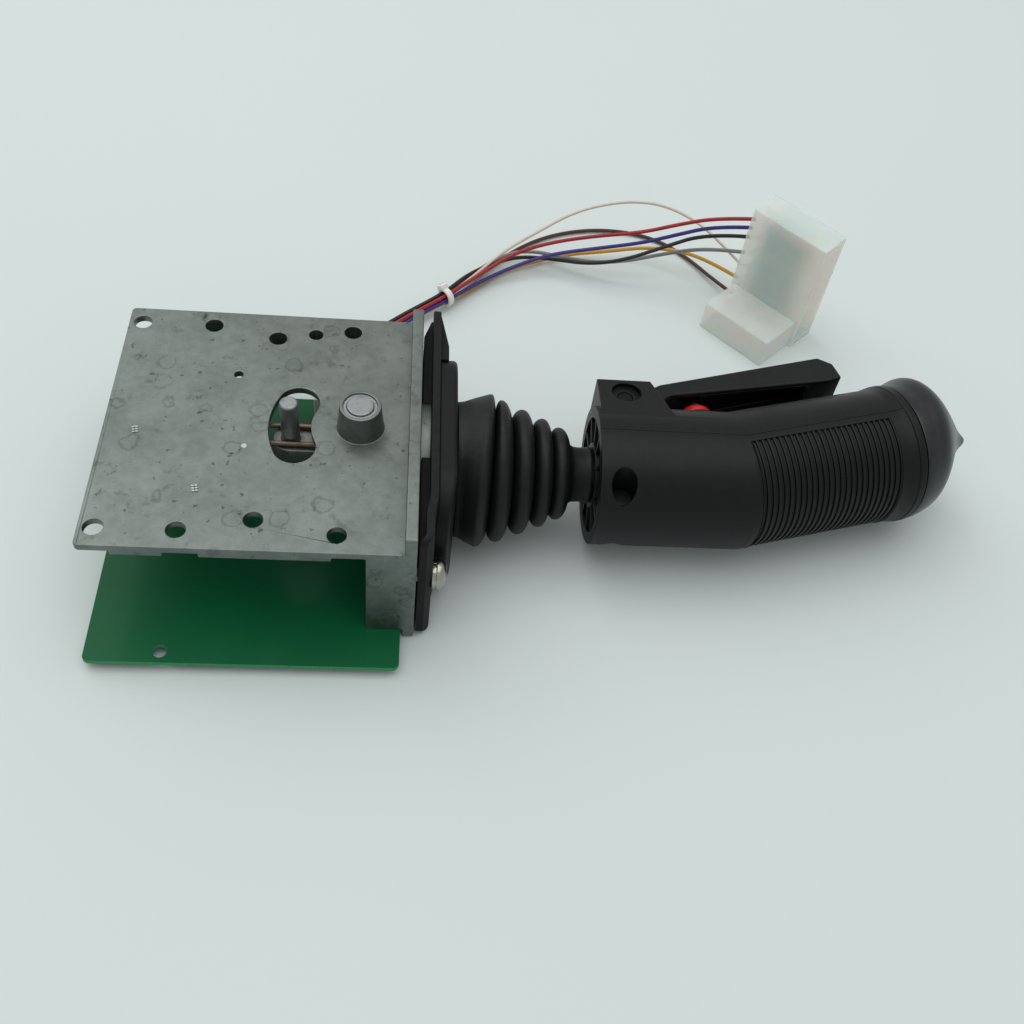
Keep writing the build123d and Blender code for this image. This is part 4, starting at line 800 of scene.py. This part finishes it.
@dataclass
class Pivot:
    """The pivot pin, the centring post and what turns below the plate."""

    post_x: float = -39.5
    spring_start: float = -27.0

    def build(self, nodes: Nodes) -> None:
        """Builds and dresses the pivot."""
        rounded("pivot_pin", "pin_turned", 0.45, "lever", DULL_STEEL, "steel", 3)
        rounded("upper_bush", "bush_turned", 0.18, "frame", DULL_STEEL, "bronze")
        rounded("centring_post", "post_turned", 0.3, "lever", DULL_STEEL, "steel", 3, 20)
        rounded("lever_hub", "hub_cast", 0.4, "lever", HUB_METAL, "hub_metal")
        spring = copy_of("centring_spring", "hairpin_spring")
        ends = ((self.spring_start, 0, 0), (self.post_x, 0, 0))
        bend_between(spring, ("frame", "lever"), ends, SPRING_STEEL, "spring_steel", "centring_spring")
        keep(nodes, BRONZE, "lower_bush", "thrust_washer")
        keep(nodes, STEEL, "pin_clip", "lever_shaft", "cross_pin")
        keep(nodes, MAGNET, "sensor_magnet")


@dataclass
class Board:
    """The circuit board with its parts and screws."""

    top: float = -20.0
    chips: tuple[Pair, ...] = ((-46.0, 4.0), (-62.0, 4.0), (-46.0, 20.0))
    chip: Point = (10.0, 6.0, 1.8)
    cans: tuple[Pair, ...] = ((-64.0, 22.0), (-72.0, 22.0), (-64.0, 34.0))
    can: Pair = (3.1, 8.0)
    can_foot: tuple[Pair, ...] = ((0.0, 0.1), (0.3, 0.0), (1.2, 0.0), (1.5, 0.35), (1.8, 0.0))
    can_head: tuple[Pair, ...] = ((0.35, 0.0), (0.0, 0.35), (0.0, 0.7), (0.2, 0.8))
    leads: int = 4
    lead_pitch: float = 2.2
    lead_half: float = 0.3
    lead_upper: tuple[Pair, ...] = ((1.2, 0.2), (2.0, 0.2), (2.0, 0), (1.05, 0))

    def can_bodies(self) -> Piece:
        """Round capacitors with a groove near the foot and a rolled rim."""
        radius, height = self.can
        foot = [(place, radius - less) for place, less in self.can_foot]
        head = [(height - below, radius - less) for below, less in self.can_head]
        profile = [(0.0, 0.0), *foot, *head, (head[-1][0], 0.0)]
        can = turned("capacitor_cans", profile, along_z(*self.cans[0], self.top), 32)
        return spread(can, self.cans)

    def chip_leads(self) -> Piece:
        """The bent leads along both sides of each chip."""
        _, width, height = self.chip
        high, low = height * 0.5, height * 0.4
        bent = [(0, high), (0.9, high), *self.lead_upper, (0.75, low), (0, low)]
        start = -(self.leads - 1) * self.lead_pitch / 2
        x, y = self.chips[0]
        stand = at(x + start, y + width / 2 - 0.1, self.top, 90) @ at(turn=90, axis="X")
        lead = prism("chip_leads", bent, (-self.lead_half, self.lead_half), stand)
        row = repeated(lead, [at(self.lead_pitch * index) for index in range(1, self.leads)])
        both = repeated(row, [at(x, y, turn=180) @ at(-x, -y)])
        return spread(both, self.chips)

    def build(self, nodes: Nodes) -> None:
        """Builds and dresses the board."""
        rounded("circuit_board", "board_panel", 0.15, "frame", BOARD, "board_green")
        fit(self.can_bodies(), "frame", CAN, "can_metal", "board_capacitors")
        fit(self.chip_leads(), "frame", TIN, "terminal_tin")
        rounded("board_chips", "chip_bodies", 0.2, "frame", CHIP, "chip_black")
        rounded("board_diodes", "diode_bodies", 0.25, "frame", CHIP, "chip_black")
        rounded("position_sensor", "sensor_body", 0.15, "frame", CHIP, "chip_black")
        rounded("wire_header", "header_block", 0.4, "frame", HEADER, "header_nylon")
        rounded("board_screws", "board_screws_turned", 0.3, "frame", PLATED, "zinc_plated")
        keep(nodes, PLATED, "board_washers")


@dataclass
class Panel:
    """The seal, the bezel and the screws on the end wall."""

    front: float = 11.2
    back: float = 5.7
    bend_start: float = -20.0
    bend_end: float = -36.0
    bend_depth: float = 1.9
    screw_place: float = 41.0
    head: Pair = (4.7, 3.2)
    head_steps: tuple[Pair, ...] = ((0.45, 0.12), (0.78, 0.9), (0.95, 2.1))
    recess: Point = (1.7, 2.6, 0.5)
    recess_turns: Pair = (20, 110)
    shank: tuple[Pair, ...] = ((-8.0, 0), (-8.0, 2.2), (-7.6, 2.5), (6.5, 2.5), (6.5, 0))
    seat: float = 6.0
    draw: float = 1.0
    curl: Point = (-43.5, -47.2, 1.8)
    curl_slices: tuple[float, ...] = (-43.5, -44.4, -45.3, -46.2, 43.5)
    stretch: Point = (43.5, 47.0, 2.0)
    backing: tuple[Pair, ...] = ((0.3, -43.5), (3.4, -43.5), (3.4, 48.8), (2.6, 48.8), (0.3, 41.5))
    backing_depth: Pair = (-22.5, 18.0)
    bed: tuple[Pair, ...] = ((4.5, 28.0), (8.4, 28.0), (8.4, 34.5), (5.9, 48.6), (4.5, 48.6))
    bed_depth: Pair = (-21.0, 21.0)
    bore: float = 21.2

    def seal(self) -> Piece:
        """The seal plate with its curled front end, its raised bed and its soft backing."""
        plate = sliced(soften(copy_of("panel_seal", "seal_plate"), 0.3), self.curl_slices)
        first, last, depth = self.curl
        near, far, longer = self.stretch

        def move(place: Vector) -> Vector:
            """How far a point of the plate is moved."""
            return Vector((-depth * ramp(place.y, first, last) ** 1.5, longer * ramp(place.y, near, far), 0))

        displaced(plate, move)
        backing = soften(prism("backing", self.backing, self.backing_depth), 0.4)
        cut(backing, turned("bore", [(-1, 0), (-1, self.bore), (5, self.bore), (5, 0)], steps=96))
        bed = soften(prism("bed", self.bed, self.bed_depth), 0.5, 3)
        return joined("seal_plate", [plate, backing, bed])

    def bezel(self) -> Piece:
        """The bezel, whose front end leans in towards the wall with the seal."""
        slices = range(round(self.bend_end), round(self.bend_start), 2)
        ring = sliced(soften(copy_of("boot_bezel", "bezel_ring"), 0.4), slices)

        def lean(place: Vector) -> Vector:
            """How far a point is drawn in."""
            share = min(max((place.x - self.back) / (self.front - self.back), 0.0), 1.0)
            return Vector((-self.bend_depth * share * ramp(place.y, self.bend_start, self.bend_end), 0, 0))

        return displaced(ring, lean)

    def screws(self) -> Piece:
        """The pan head screws with their cross recesses."""
        radius, height = self.head
        seat, top = self.seat, self.seat + height
        dome = [(seat + height * share, radius - less) for share, less in self.head_steps]
        profile = [(seat, 0), (seat, radius - 0.1), (seat + 0.3, radius), *dome, (top, 0)]
        head = turned("panel_screw_heads", profile, at(0, -self.screw_place), 48)
        deep, reach, half = self.recess
        for turn in self.recess_turns:
            frame = at(0, -self.screw_place, 0, turn, "X")
            cut(head, slab("arm", (top - deep, -reach, -half), (top + 1, reach, half), 0.12, frame))
        shank = turned("shank", self.shank, at(0, -self.screw_place), 32)
        both = joined("panel_screw_heads", [head, shank])
        return repeated(both, [at(self.draw, 2 * self.screw_place)])

    def build(self, nodes: Nodes) -> None:
        """Builds and dresses the panel's parts."""
        fit(self.seal(), "frame", SEAL, "seal_rubber", "panel_seal")
        fit(self.bezel(), "frame", BEZEL, "bezel_plastic", "boot_bezel")
        fit(self.screws(), "frame", PLATED, "zinc_plated", "panel_screws")
        rounded("lock_washers", "split_washers", 0.15, "frame", PLATED, "zinc_plated")


@dataclass
class Bellows:
    """The rubber boot: (crest place, crest radius, valley place, valley radius) of each fold."""

    base: Pair = (11.2, 21.5)
    folds: tuple[Four, ...] = (
        (20.5, 24.6, 13.2, 21.6),
        (25.2, 22.9, 22.8, 18.2),
        (32.2, 20.2, 28.8, 15.4),
        (38.8, 17.6, 35.6, 13.4),
        (44.2, 15.0, 41.6, 11.6),
    )
    neck: Point = (47.6, 54.7, 8.7)
    wall: float = 1.4
    bead: Point = (1.6, 1.3, 0.45)
    turns: tuple[float, ...] = (0.12, 0.35, 0.6, 0.85)
    straight: tuple[float, ...] = (0.3, 0.6, 0.85, 0.95)
    straight_power: float = 0.85
    sway: tuple[Pair, ...] = ((13.0, 0.2), (20.5, 2.5), (22.8, 1.3), (25.2, 0.1), (60.0, 0.0))

    def profile(self) -> list[Pair]:
        """The outer outline: round crests with narrow valleys, the first one with a long straight flank."""
        start, radius = self.base
        neck_start, neck_end, neck = self.neck
        points = [(start, radius - 0.2), (start + 0.4, radius)]
        valleys = [fold[2:] for fold in self.folds] + [(neck_start, neck + 0.3)]
        rising = [math.pi / 2 * share for share in self.turns]
        curved = [(1 - math.cos(turn), math.sin(turn)) for turn in rising]
        steps = [(share, share ** self.straight_power) for share in self.straight]
        for (crest, rise, *_), before, after in zip(self.folds, valleys, valleys[1:]):
            points.append(before)
            for (place, low), flank in ((before, steps), (after, curved[::-1])):
                points += [(place + (crest - place) * along, low + (rise - low) * up) for along, up in flank]
            steps = curved
        bead_start, bead_rise, bead = self.bead
        points += [
            (neck_start + 0.6, neck), (neck_end - bead_start, neck), (neck_end - bead_rise, neck + bead),
            (neck_end - 0.2, neck + bead), (neck_end, neck),
        ]
        return points

    def lean(self, place: Vector) -> Vector:
        """How far the folds lean along the axis, more the further they are from it."""
        reach = self.folds[0][1]
        for (low, less), (high, more) in zip(self.sway, self.sway[1:]):
            if low < place.x <= high:
                amount = less + (more - less) * (place.x - low) / (high - low)
                return Vector((amount * place.y / reach, 0, 0))
        return Vector((0, 0, 0))

    def build(self, nodes: Nodes) -> None:
        """Builds the bellows as a skin with thickness."""
        skin = leaning_skin("boot_bellows", self.profile(), self.lean, self.wall)
        ends = ((self.folds[0][2], 0, 0), (self.neck[1], 0, 0))
        bend_between(skin, ("frame", "lever"), ends, BOOT, "boot_rubber", "boot")


@dataclass
class Handle:
    """The two shells with their screws, the collar and what they hold."""

    rounding: float = 0.28
    start: float = 55.0
    spoke: Point = (0.5, 10.4, 18.6)
    spoke_depth: Pair = (0.25, 1.4)
    spokes: int = 12

    def end_spokes(self) -> Piece:
        """The thin webs in the recess of the end wall."""
        half, inner, outer = self.spoke
        front, back = (self.start + depth for depth in self.spoke_depth)
        web = slab("end_spokes", (front, -half, inner), (back, half, outer), 0.12)
        turns = [at(turn=360 * index / self.spokes, axis="X") for index in range(1, self.spokes)]
        return repeated(web, turns)

    def build(self, nodes: Nodes) -> None:
        """Builds and dresses the handle."""
        for node, name in (("front_shell", "ribbed_shell"), ("back_shell", "lug_shell")):
            rounded(node, name, self.rounding, "lever", GRIP_PLASTIC, "grip_plastic", edge=38, angle=30)
        fit(self.end_spokes(), "lever", GRIP_PLASTIC, "grip_plastic")
        rounded("grip_collar", "collar_ring", 0.2, "lever", GRIP_PLASTIC, "grip_plastic")
        rounded("handle_core", "core_block", 0.3, "lever", CORE, "core_plastic")
        # The core and shell screws are painted nearly black: painted shade in their wells.
        rounded("core_screws", "core_screws_turned", 0.4, "lever", WELL_SHADE_STEEL, "zinc_plated")
        rounded("shell_screws", "shell_screws_turned", 0.35, "lever", WELL_SHADE_STEEL, "zinc_plated")
        rounded("button_switch", "switch_box", 0.3, "lever", SWITCH, "switch_black")
        rounded("rocker_switch", "rocker_box", 0.3, "lever", SWITCH, "switch_black")
        rounded("rocker", "rocker_block", 0.5, "rocker", SWITCH, "switch_black")


@dataclass
class Trigger:
    """The trigger with its pin, spring and red button."""

    rounding: float = 0.9
    pivot: Pair = (65.5, 19.5)
    button_x: float = 93.2
    button_radius: float = 5.6
    button_tip: float = 30.9
    flange: Point = (16.6, 18.0, 6.8)
    stem: Pair = (12.4, 2.2)
    dome: tuple[Pair, ...] = ((2.9, 0.0), (2.2, 0.35), (1.3, 1.3), (0.6, 2.6), (0.15, 4.2))
    coil: Point = (2.9, 1.3, 8.0)
    turns: int = 6
    turn_steps: int = 16

    def button(self) -> Piece:
        """The domed red button with its flange and stem."""
        low, high, wide = self.flange
        stem_tip, stem_radius = self.stem
        radius, tip = self.button_radius, self.button_tip
        dome = [(tip - below, radius - less) for below, less in self.dome]
        profile = [
            (stem_tip, 0), (stem_tip, stem_radius - 0.3), (stem_tip + 0.3, stem_radius), (low, stem_radius),
            (low, wide - 0.2), (low + 0.2, wide), (high - 0.2, wide), (high, wide - 0.2), (high, radius),
            *dome, (tip, 0),
        ]
        return turned("red_dome", profile, along_y(self.button_x), 64)

    def spring(self) -> Piece:
        """The coiled return spring, a round wire swept along a helix."""
        radius, wire, length = self.coil
        middle = radius + wire / 2
        x, y = self.pivot
        count = self.turns * self.turn_steps
        points = []
        for index in range(count + 1):
            angle = math.tau * index / self.turn_steps
            level = (index / count - 0.5) * (length - wire)
            points.append((x + middle * math.cos(angle), y + middle * math.sin(angle), level))
        curve = wire_curve("coil_path", points, wire / 2 * 0.92)
        only(curve)
        bpy.ops.object.convert(target="MESH")
        return named("return_spring")

    def build(self, nodes: Nodes) -> None:
        """Builds and dresses the trigger's parts."""
        rounded("trigger", "trigger_lever", self.rounding, "trigger", TRIGGER, "trigger_plastic", 3, 30)
        # The trigger pin is painted nearly black: painted shade in its well.
        rounded("trigger_pin", "trigger_pin_turned", 0.3, "lever", WELL_SHADE_STEEL, "steel")
        fit(self.button(), "button", RED, "button_red", "red_button")
        fit(self.spring(), "lever", SPRING_STEEL, "spring_steel", "trigger_spring")


@dataclass
class ThumbCap:
    """The smoky rubber cap over the thumb rocker, in the grip's own frame."""

    start: float = 58.5
    skin: float = 1.7
    rocker_pivot: float = 64.0
    tip: float = 80.0
    rings: tuple[Four, ...] = (
        (0.0, 22.6, 0.0, 0.0), (0.35, 23.0, 0.0, 0.0), (3.0, 22.9, 0.2, 0.0), (5.5, 22.9, 1.0, 0.0),
        (8.0, 23.0, 1.9, 0.2), (10.5, 22.3, 2.6, 0.5), (13.0, 20.3, 3.1, 0.9), (16.0, 16.9, 3.3, 1.3),
        (19.5, 12.4, 2.9, 1.5), (22.5, 8.6, 2.1, 1.3), (25.3, 5.3, 1.2, 0.7), (27.1, 3.5, 0.6, 0.3),
        (28.9, 2.1, 0.1, 0.0), (30.1, 0.9, 0.0, 0.0), (30.4, 0.0, 0.0, 0.0),
    )

    def lean(self, place: Vector) -> Vector:
        """How far the cap's middle line lies off the grip's axis at a place along it."""
        along = place.x - self.start
        for (low, _, low_y, low_z), (high, _, high_y, high_z) in zip(self.rings, self.rings[1:]):
            if along <= high:
                share = max((along - low) / (high - low), 0.0)
                return Vector((0, low_y + (high_y - low_y) * share, low_z + (high_z - low_z) * share))
        return Vector((0, 0, 0))

    def build(self, nodes: Nodes) -> None:
        """Builds the cap as a leaning skin."""
        profile = [(self.start + along, radius) for along, radius, _, _ in self.rings]
        cap = settle(leaning_skin("thumb_cap", profile, self.lean, self.skin), GRIP)
        ends = tuple(tuple(GRIP @ Vector((place * MM, 0, 0)) / MM) for place in (self.rocker_pivot, self.tip))
        bend_between(cap, ("lever", "rocker"), ends, CAP, "cap_rubber", "rubber_cap")


def wire_curve(name: str, points: Sequence[Point], radius: float) -> Piece:
    """A round wire along one open NURBS spline through its control points in millimetres."""
    data = bpy.data.curves.new(name, "CURVE")
    data.dimensions = "3D"
    spline = data.splines.new("NURBS")
    spline.points.add(len(points) - 1)
    for control, point in zip(spline.points, points):
        control.co = (*(Vector(point) * MM), 1.0)
    spline.order_u = 3
    spline.use_endpoint_u = True
    data.resolution_u = 8
    data.bevel_depth = radius * MM
    data.bevel_resolution = 4
    data.use_fill_caps = True
    piece = bpy.data.objects.new(name, data)
    bpy.context.scene.collection.objects.link(piece)
    return piece


@dataclass(frozen=True)
class Wire:
    """One wire: its slot in the header, its place in the bundle, its loose run and its colour."""

    slot: int
    across: int
    row: int
    entry: float
    length: float
    finish: Insulation
    lay: tuple[Point, ...]
    radius: float = 0.75


WIRES = {
    "red": Wire(4, -1, 1, 16.1, 204.4, Insulation("insulation_red", "#b3202b", "#8c151f"), (
        (23.2, 118.6, -18.2), (35.4, 128.0, -15.5), (50.3, 131.5, -11.5), (67.9, 131.5, -7.0),
        (85.4, 129.5, -2.5), (98.5, 128.0, 3.5), (112.2, 124.4, 10.6),
    )),
    "blue": Wire(6, -2, 0, 12.1, 200.7, Insulation("insulation_blue", "#3d2f8f", "#2c2270"), (
        (23.7, 117.2, -20.8), (36.2, 124.6, -19.0), (50.4, 129.0, -15.5), (68.0, 128.9, -11.2),
        (85.7, 128.1, -6.6), (98.5, 126.8, -0.6), (112.3, 124.2, 6.8),
    )),
    "black": Wire(2, 1, 1, 7.7, 208.5, Insulation("insulation_black", "#1c1a1c", "#100f10"), (
        (17.6, 118.2, -19.0), (29.4, 127.4, -19.6), (39.8, 132.4, -20.0), (52.8, 129.9, -18.6),
        (66.0, 124.1, -15.3), (79.3, 121.9, -10.5), (93.6, 124.1, -5.0), (110.2, 125.5, 2.1),
    )),
    "grey": Wire(0, 2, 0, 0.2, 213.0, Insulation("insulation_grey", "#8e8d8c", "#737272"), (
        (19.5, 121.5, -21.3), (33.7, 135.1, -21.1), (44.8, 137.3, -20.8), (57.6, 132.2, -19.5),
        (70.0, 128.6, -18.0), (82.4, 127.3, -15.0), (96.4, 128.1, -11.0), (112.2, 126.0, -5.2),
    )),
    "white": Wire(3, 0, 0, -5.7, 214.9, Insulation("insulation_white", "#e2d8c6", "#c9bda8"), (
        (20.5, 118.5, -19.5), (32.2, 128.4, -14.2), (45.4, 133.7, -8.0), (57.5, 139.1, -2.9),
        (69.3, 141.4, 0.6), (82.5, 143.1, 2.3), (95.5, 142.2, 2.0), (108.6, 136.5, -0.6),
        (117.4, 127.6, -3.4),
    ), 0.6),
    "yellow": Wire(5, -1, -1, -12.2, 207.7, Insulation("insulation_yellow", "#d8a21f", "#b98615"), (
        (19.5, 114.2, -23.4), (29.3, 124.6, -23.3), (42.9, 132.1, -23.0), (58.3, 138.4, -22.6),
        (74.8, 139.8, -21.0), (90.9, 141.0, -18.5), (104.9, 137.0, -16.0), (116.0, 128.4, -13.9),
    )),
    "brown": Wire(1, 1, -1, -20.5, 230.5, Insulation("insulation_brown", "#4f2c22", "#381d16"), (
        (20.0, 121.5, -23.4), (32.0, 135.0, -23.4), (45.5, 147.0, -23.4), (59.5, 154.0, -23.4),
        (74.5, 157.2, -23.4), (89.5, 156.0, -23.4), (101.5, 150.5, -23.4), (111.5, 140.0, -23.3),
        (118.6, 128.2, -22.4),
    )),
}


@dataclass
class Lead:
    """The wire lead: seven wires, their tie and the connector."""

    header: Point = (-26.5, 46.0, -16.0)
    header_pitch: float = 2.5
    fan: Point = (-26.5, 60.0, -17.5)
    fan_pitch: float = 2.2
    pitch: float = 1.7
    fan_rise: float = 0.8
    middle: int = 3
    bundle: tuple[tuple[Point, float, float], ...] = (
        ((-22.0, 76.0, -20.5), 61.0, 1.25),
        ((-8.5, 90.6, -20.6), 45.0, 1.0),
        ((9.1, 104.9, -19.8), 41.0, 1.0),
    )
    corner: Pair = (122.4, 115.4)
    turn: float = -46.2
    entry_place: float = 3.3
    tie_radius: float = 2.75
    tie_thickness: float = 0.9
    tie_width: float = 2.4
    connector: Point = (33.0, 14.0, 47.0)
    cell_wall: Point = (2.0, 1.2, 0.4)
    spine_gap: float = 1.6
    rows: int = 7
    floor: float = -24.5
    end_wall: float = 8.0

    def beside(self, place: Point, heading: float, across: float, up: float) -> Point:
        """A wire's point beside the bundle's middle line."""
        turn = math.radians(heading)
        return (place[0] - across * math.sin(turn), place[1] + across * math.cos(turn), place[2] + up)

    def route(self, wire: Wire) -> list[Point]:
        """A wire's control points, from the header to the connector."""
        x, y, z = self.header
        points = [(x + self.header_pitch * (wire.slot - self.middle), y, z)]
        aside = (self.middle - wire.slot) * self.fan_pitch
        points.append(self.beside(self.fan, 90.0, aside, wire.row * self.fan_rise))
        row = self.pitch * math.sqrt(3) / 2
        for place, heading, loose in self.bundle:
            aside = wire.across * loose * self.pitch / 2
            points.append(self.beside(place, heading, aside, wire.row * loose * row))
        points.extend(wire.lay)
        points.append(self.beside((*self.corner, wire.entry), self.turn, self.entry_place, 0.0))
        return points

    def tie(self) -> Piece:
        """The cable tie: a strap round the bundle, its head and its cut tail."""
        place, heading, _ = self.bundle[-1]
        inner, half = self.tie_radius, self.tie_width / 2
        outer = inner + self.tie_thickness
        ring = [
            (-half, inner), (-half, outer - 0.2), (-half + 0.2, outer), (half - 0.2, outer),
            (half, outer - 0.2), (half, inner), (-half, inner),
        ]
        frame = at(*place, heading)
        strap = turned("strap", ring, frame, 40)
        upper = frame @ at(turn=-35, axis="X")
        head = slab("head", (-half - 0.4, -1.6, outer - 0.6), (half + 0.4, 1.6, outer + 1.5), 0.3, upper)
        tail = slab("tail", (-half + 0.4, -0.4, outer + 0.2), (half - 0.4, 0.4, outer + 2.4), 0.15, upper)
        return joined("tie_strap", [strap, head, tail])

    def cells(self) -> Piece:
        """The walls between the connector's cavities, seen through its milky skin."""
        length, depth, height = self.connector
        start, side, half = self.cell_wall
        end = length - self.end_wall
        frame = at(*self.corner, 0, self.turn)
        walls = []
        for index in range(1, self.rows):
            level = self.floor + height * index / self.rows
            low, high = (start, side, level - half), (end, depth - side, level + half)
            walls.append(slab(f"wall_{index}", low, high, 0.1, frame))
        low = (start, depth / 2 - half, self.floor + self.spine_gap)
        high = (end, depth / 2 + half, self.floor + height - self.spine_gap)
        walls.append(slab("spine", low, high, 0.1, frame))
        return joined("connector_walls", walls)

    def build(self, nodes: Nodes) -> None:
        """Builds the wires, the tie and the connector."""
        tie = fit(self.tie(), "frame", TIE, "tie_nylon", "cable_tie")
        housing = rounded("connector_housing", "connector_shell", 0.35, "frame", NYLON, "connector_nylon")
        cells = fit(self.cells(), "frame", INNER_NYLON, "connector_nylon")
        keep(nodes, TIN, "connector_terminals")
        for name, wire in WIRES.items():
            points = self.route(wire)
            curve = wire_curve(f"lead_{name}", points, wire.radius)
            fit(curve, "frame", wire.finish, f"insulation_{name}", f"wire_{name}")


@dataclass
class Studio:
    """The bench, the soft lights and the camera."""

    floor: float = -24.5
    floor_size: float = 6.0
    position: Point = (-4.76, -238.48, 278.72)
    right: Point = (0.99476, -0.02964, 0.09788)
    up: Point = (-0.03763, 0.78386, 0.6198)
    back: Point = (-0.09509, -0.62024, 0.77863)
    lens: float = 40.41
    sensor: float = 36.0
    sky: str = "#eef0f0"
    sky_strength: float = 0.6
    lamps: tuple[tuple[str, Point, Point, float, float], ...] = (
        ("overhead", (60.0, 120.0, 1600.0), (20.0, 20.0, 0.0), 1.8, 12.0),
        ("window", (-900.0, 900.0, 1300.0), (0.0, 20.0, 0.0), 1.4, 6.5),
    )

    def camera(self) -> None:
        """Sets the camera at the photograph's viewpoint."""
        data = bpy.data.cameras.new("portrait")
        data.lens = self.lens
        data.sensor_width = self.sensor
        data.clip_start = 0.01
        camera = bpy.data.objects.new("portrait", data)
        back = Vector(self.back).normalized()
        right = (Vector(self.right) - back * Vector(self.right).dot(back)).normalized()
        up = back.cross(right)
        turn = Matrix((right, up, back)).transposed().to_4x4()
        camera.matrix_world = Matrix.Translation(Vector(self.position) * MM) @ turn
        bpy.context.scene.collection.objects.link(camera)
        bpy.context.scene.camera = camera

    def bench(self) -> None:
        """The plain pale bench top."""
        bpy.ops.object.select_all(action="DESELECT")
        bpy.ops.mesh.primitive_plane_add(size=self.floor_size, location=(0, 0, self.floor * MM))
        floor = settle(named("bench"))
        dress(floor, FLOOR_FINISH)

    def light(self) -> None:
        """Soft lamps and an even pale surround."""
        for name, place, target, size, power in self.lamps:
            data = bpy.data.lights.new(name, "AREA")
            data.shape = "SQUARE"
            data.size = size
            data.energy = power
            lamp = bpy.data.objects.new(name, data)
            spot, aim = Vector(place) * MM, Vector(target) * MM
            turn = (spot - aim).to_track_quat("Z", "Y").to_matrix().to_4x4()
            lamp.matrix_world = Matrix.Translation(spot) @ turn
            bpy.context.scene.collection.objects.link(lamp)
        world = bpy.data.worlds.new("surround")
        bpy.context.scene.world = world
        world.use_nodes = True
        background = world.node_tree.nodes["Background"]
        background.inputs["Color"].default_value = colour(self.sky)
        background.inputs["Strength"].default_value = self.sky_strength

    def build(self) -> None:
        """Sets up the whole studio."""
        self.camera()
        self.bench()
        self.light()
        bpy.context.scene.view_settings.view_transform = "Standard"


def main() -> None:
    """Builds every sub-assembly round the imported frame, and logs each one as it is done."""
    logging.basicConfig(level=logging.INFO, format="%(message)s")
    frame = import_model()
    nodes = frame["nodes"]
    Studio().build()
    for part in (Lead(), Casting(), Pivot(), Board(), Panel(), Bellows(), Handle(), Trigger(), ThumbCap()):
        part.build(nodes)
        LOG.info("%s done", type(part).__name__)


if __name__ == "__main__":
    main()
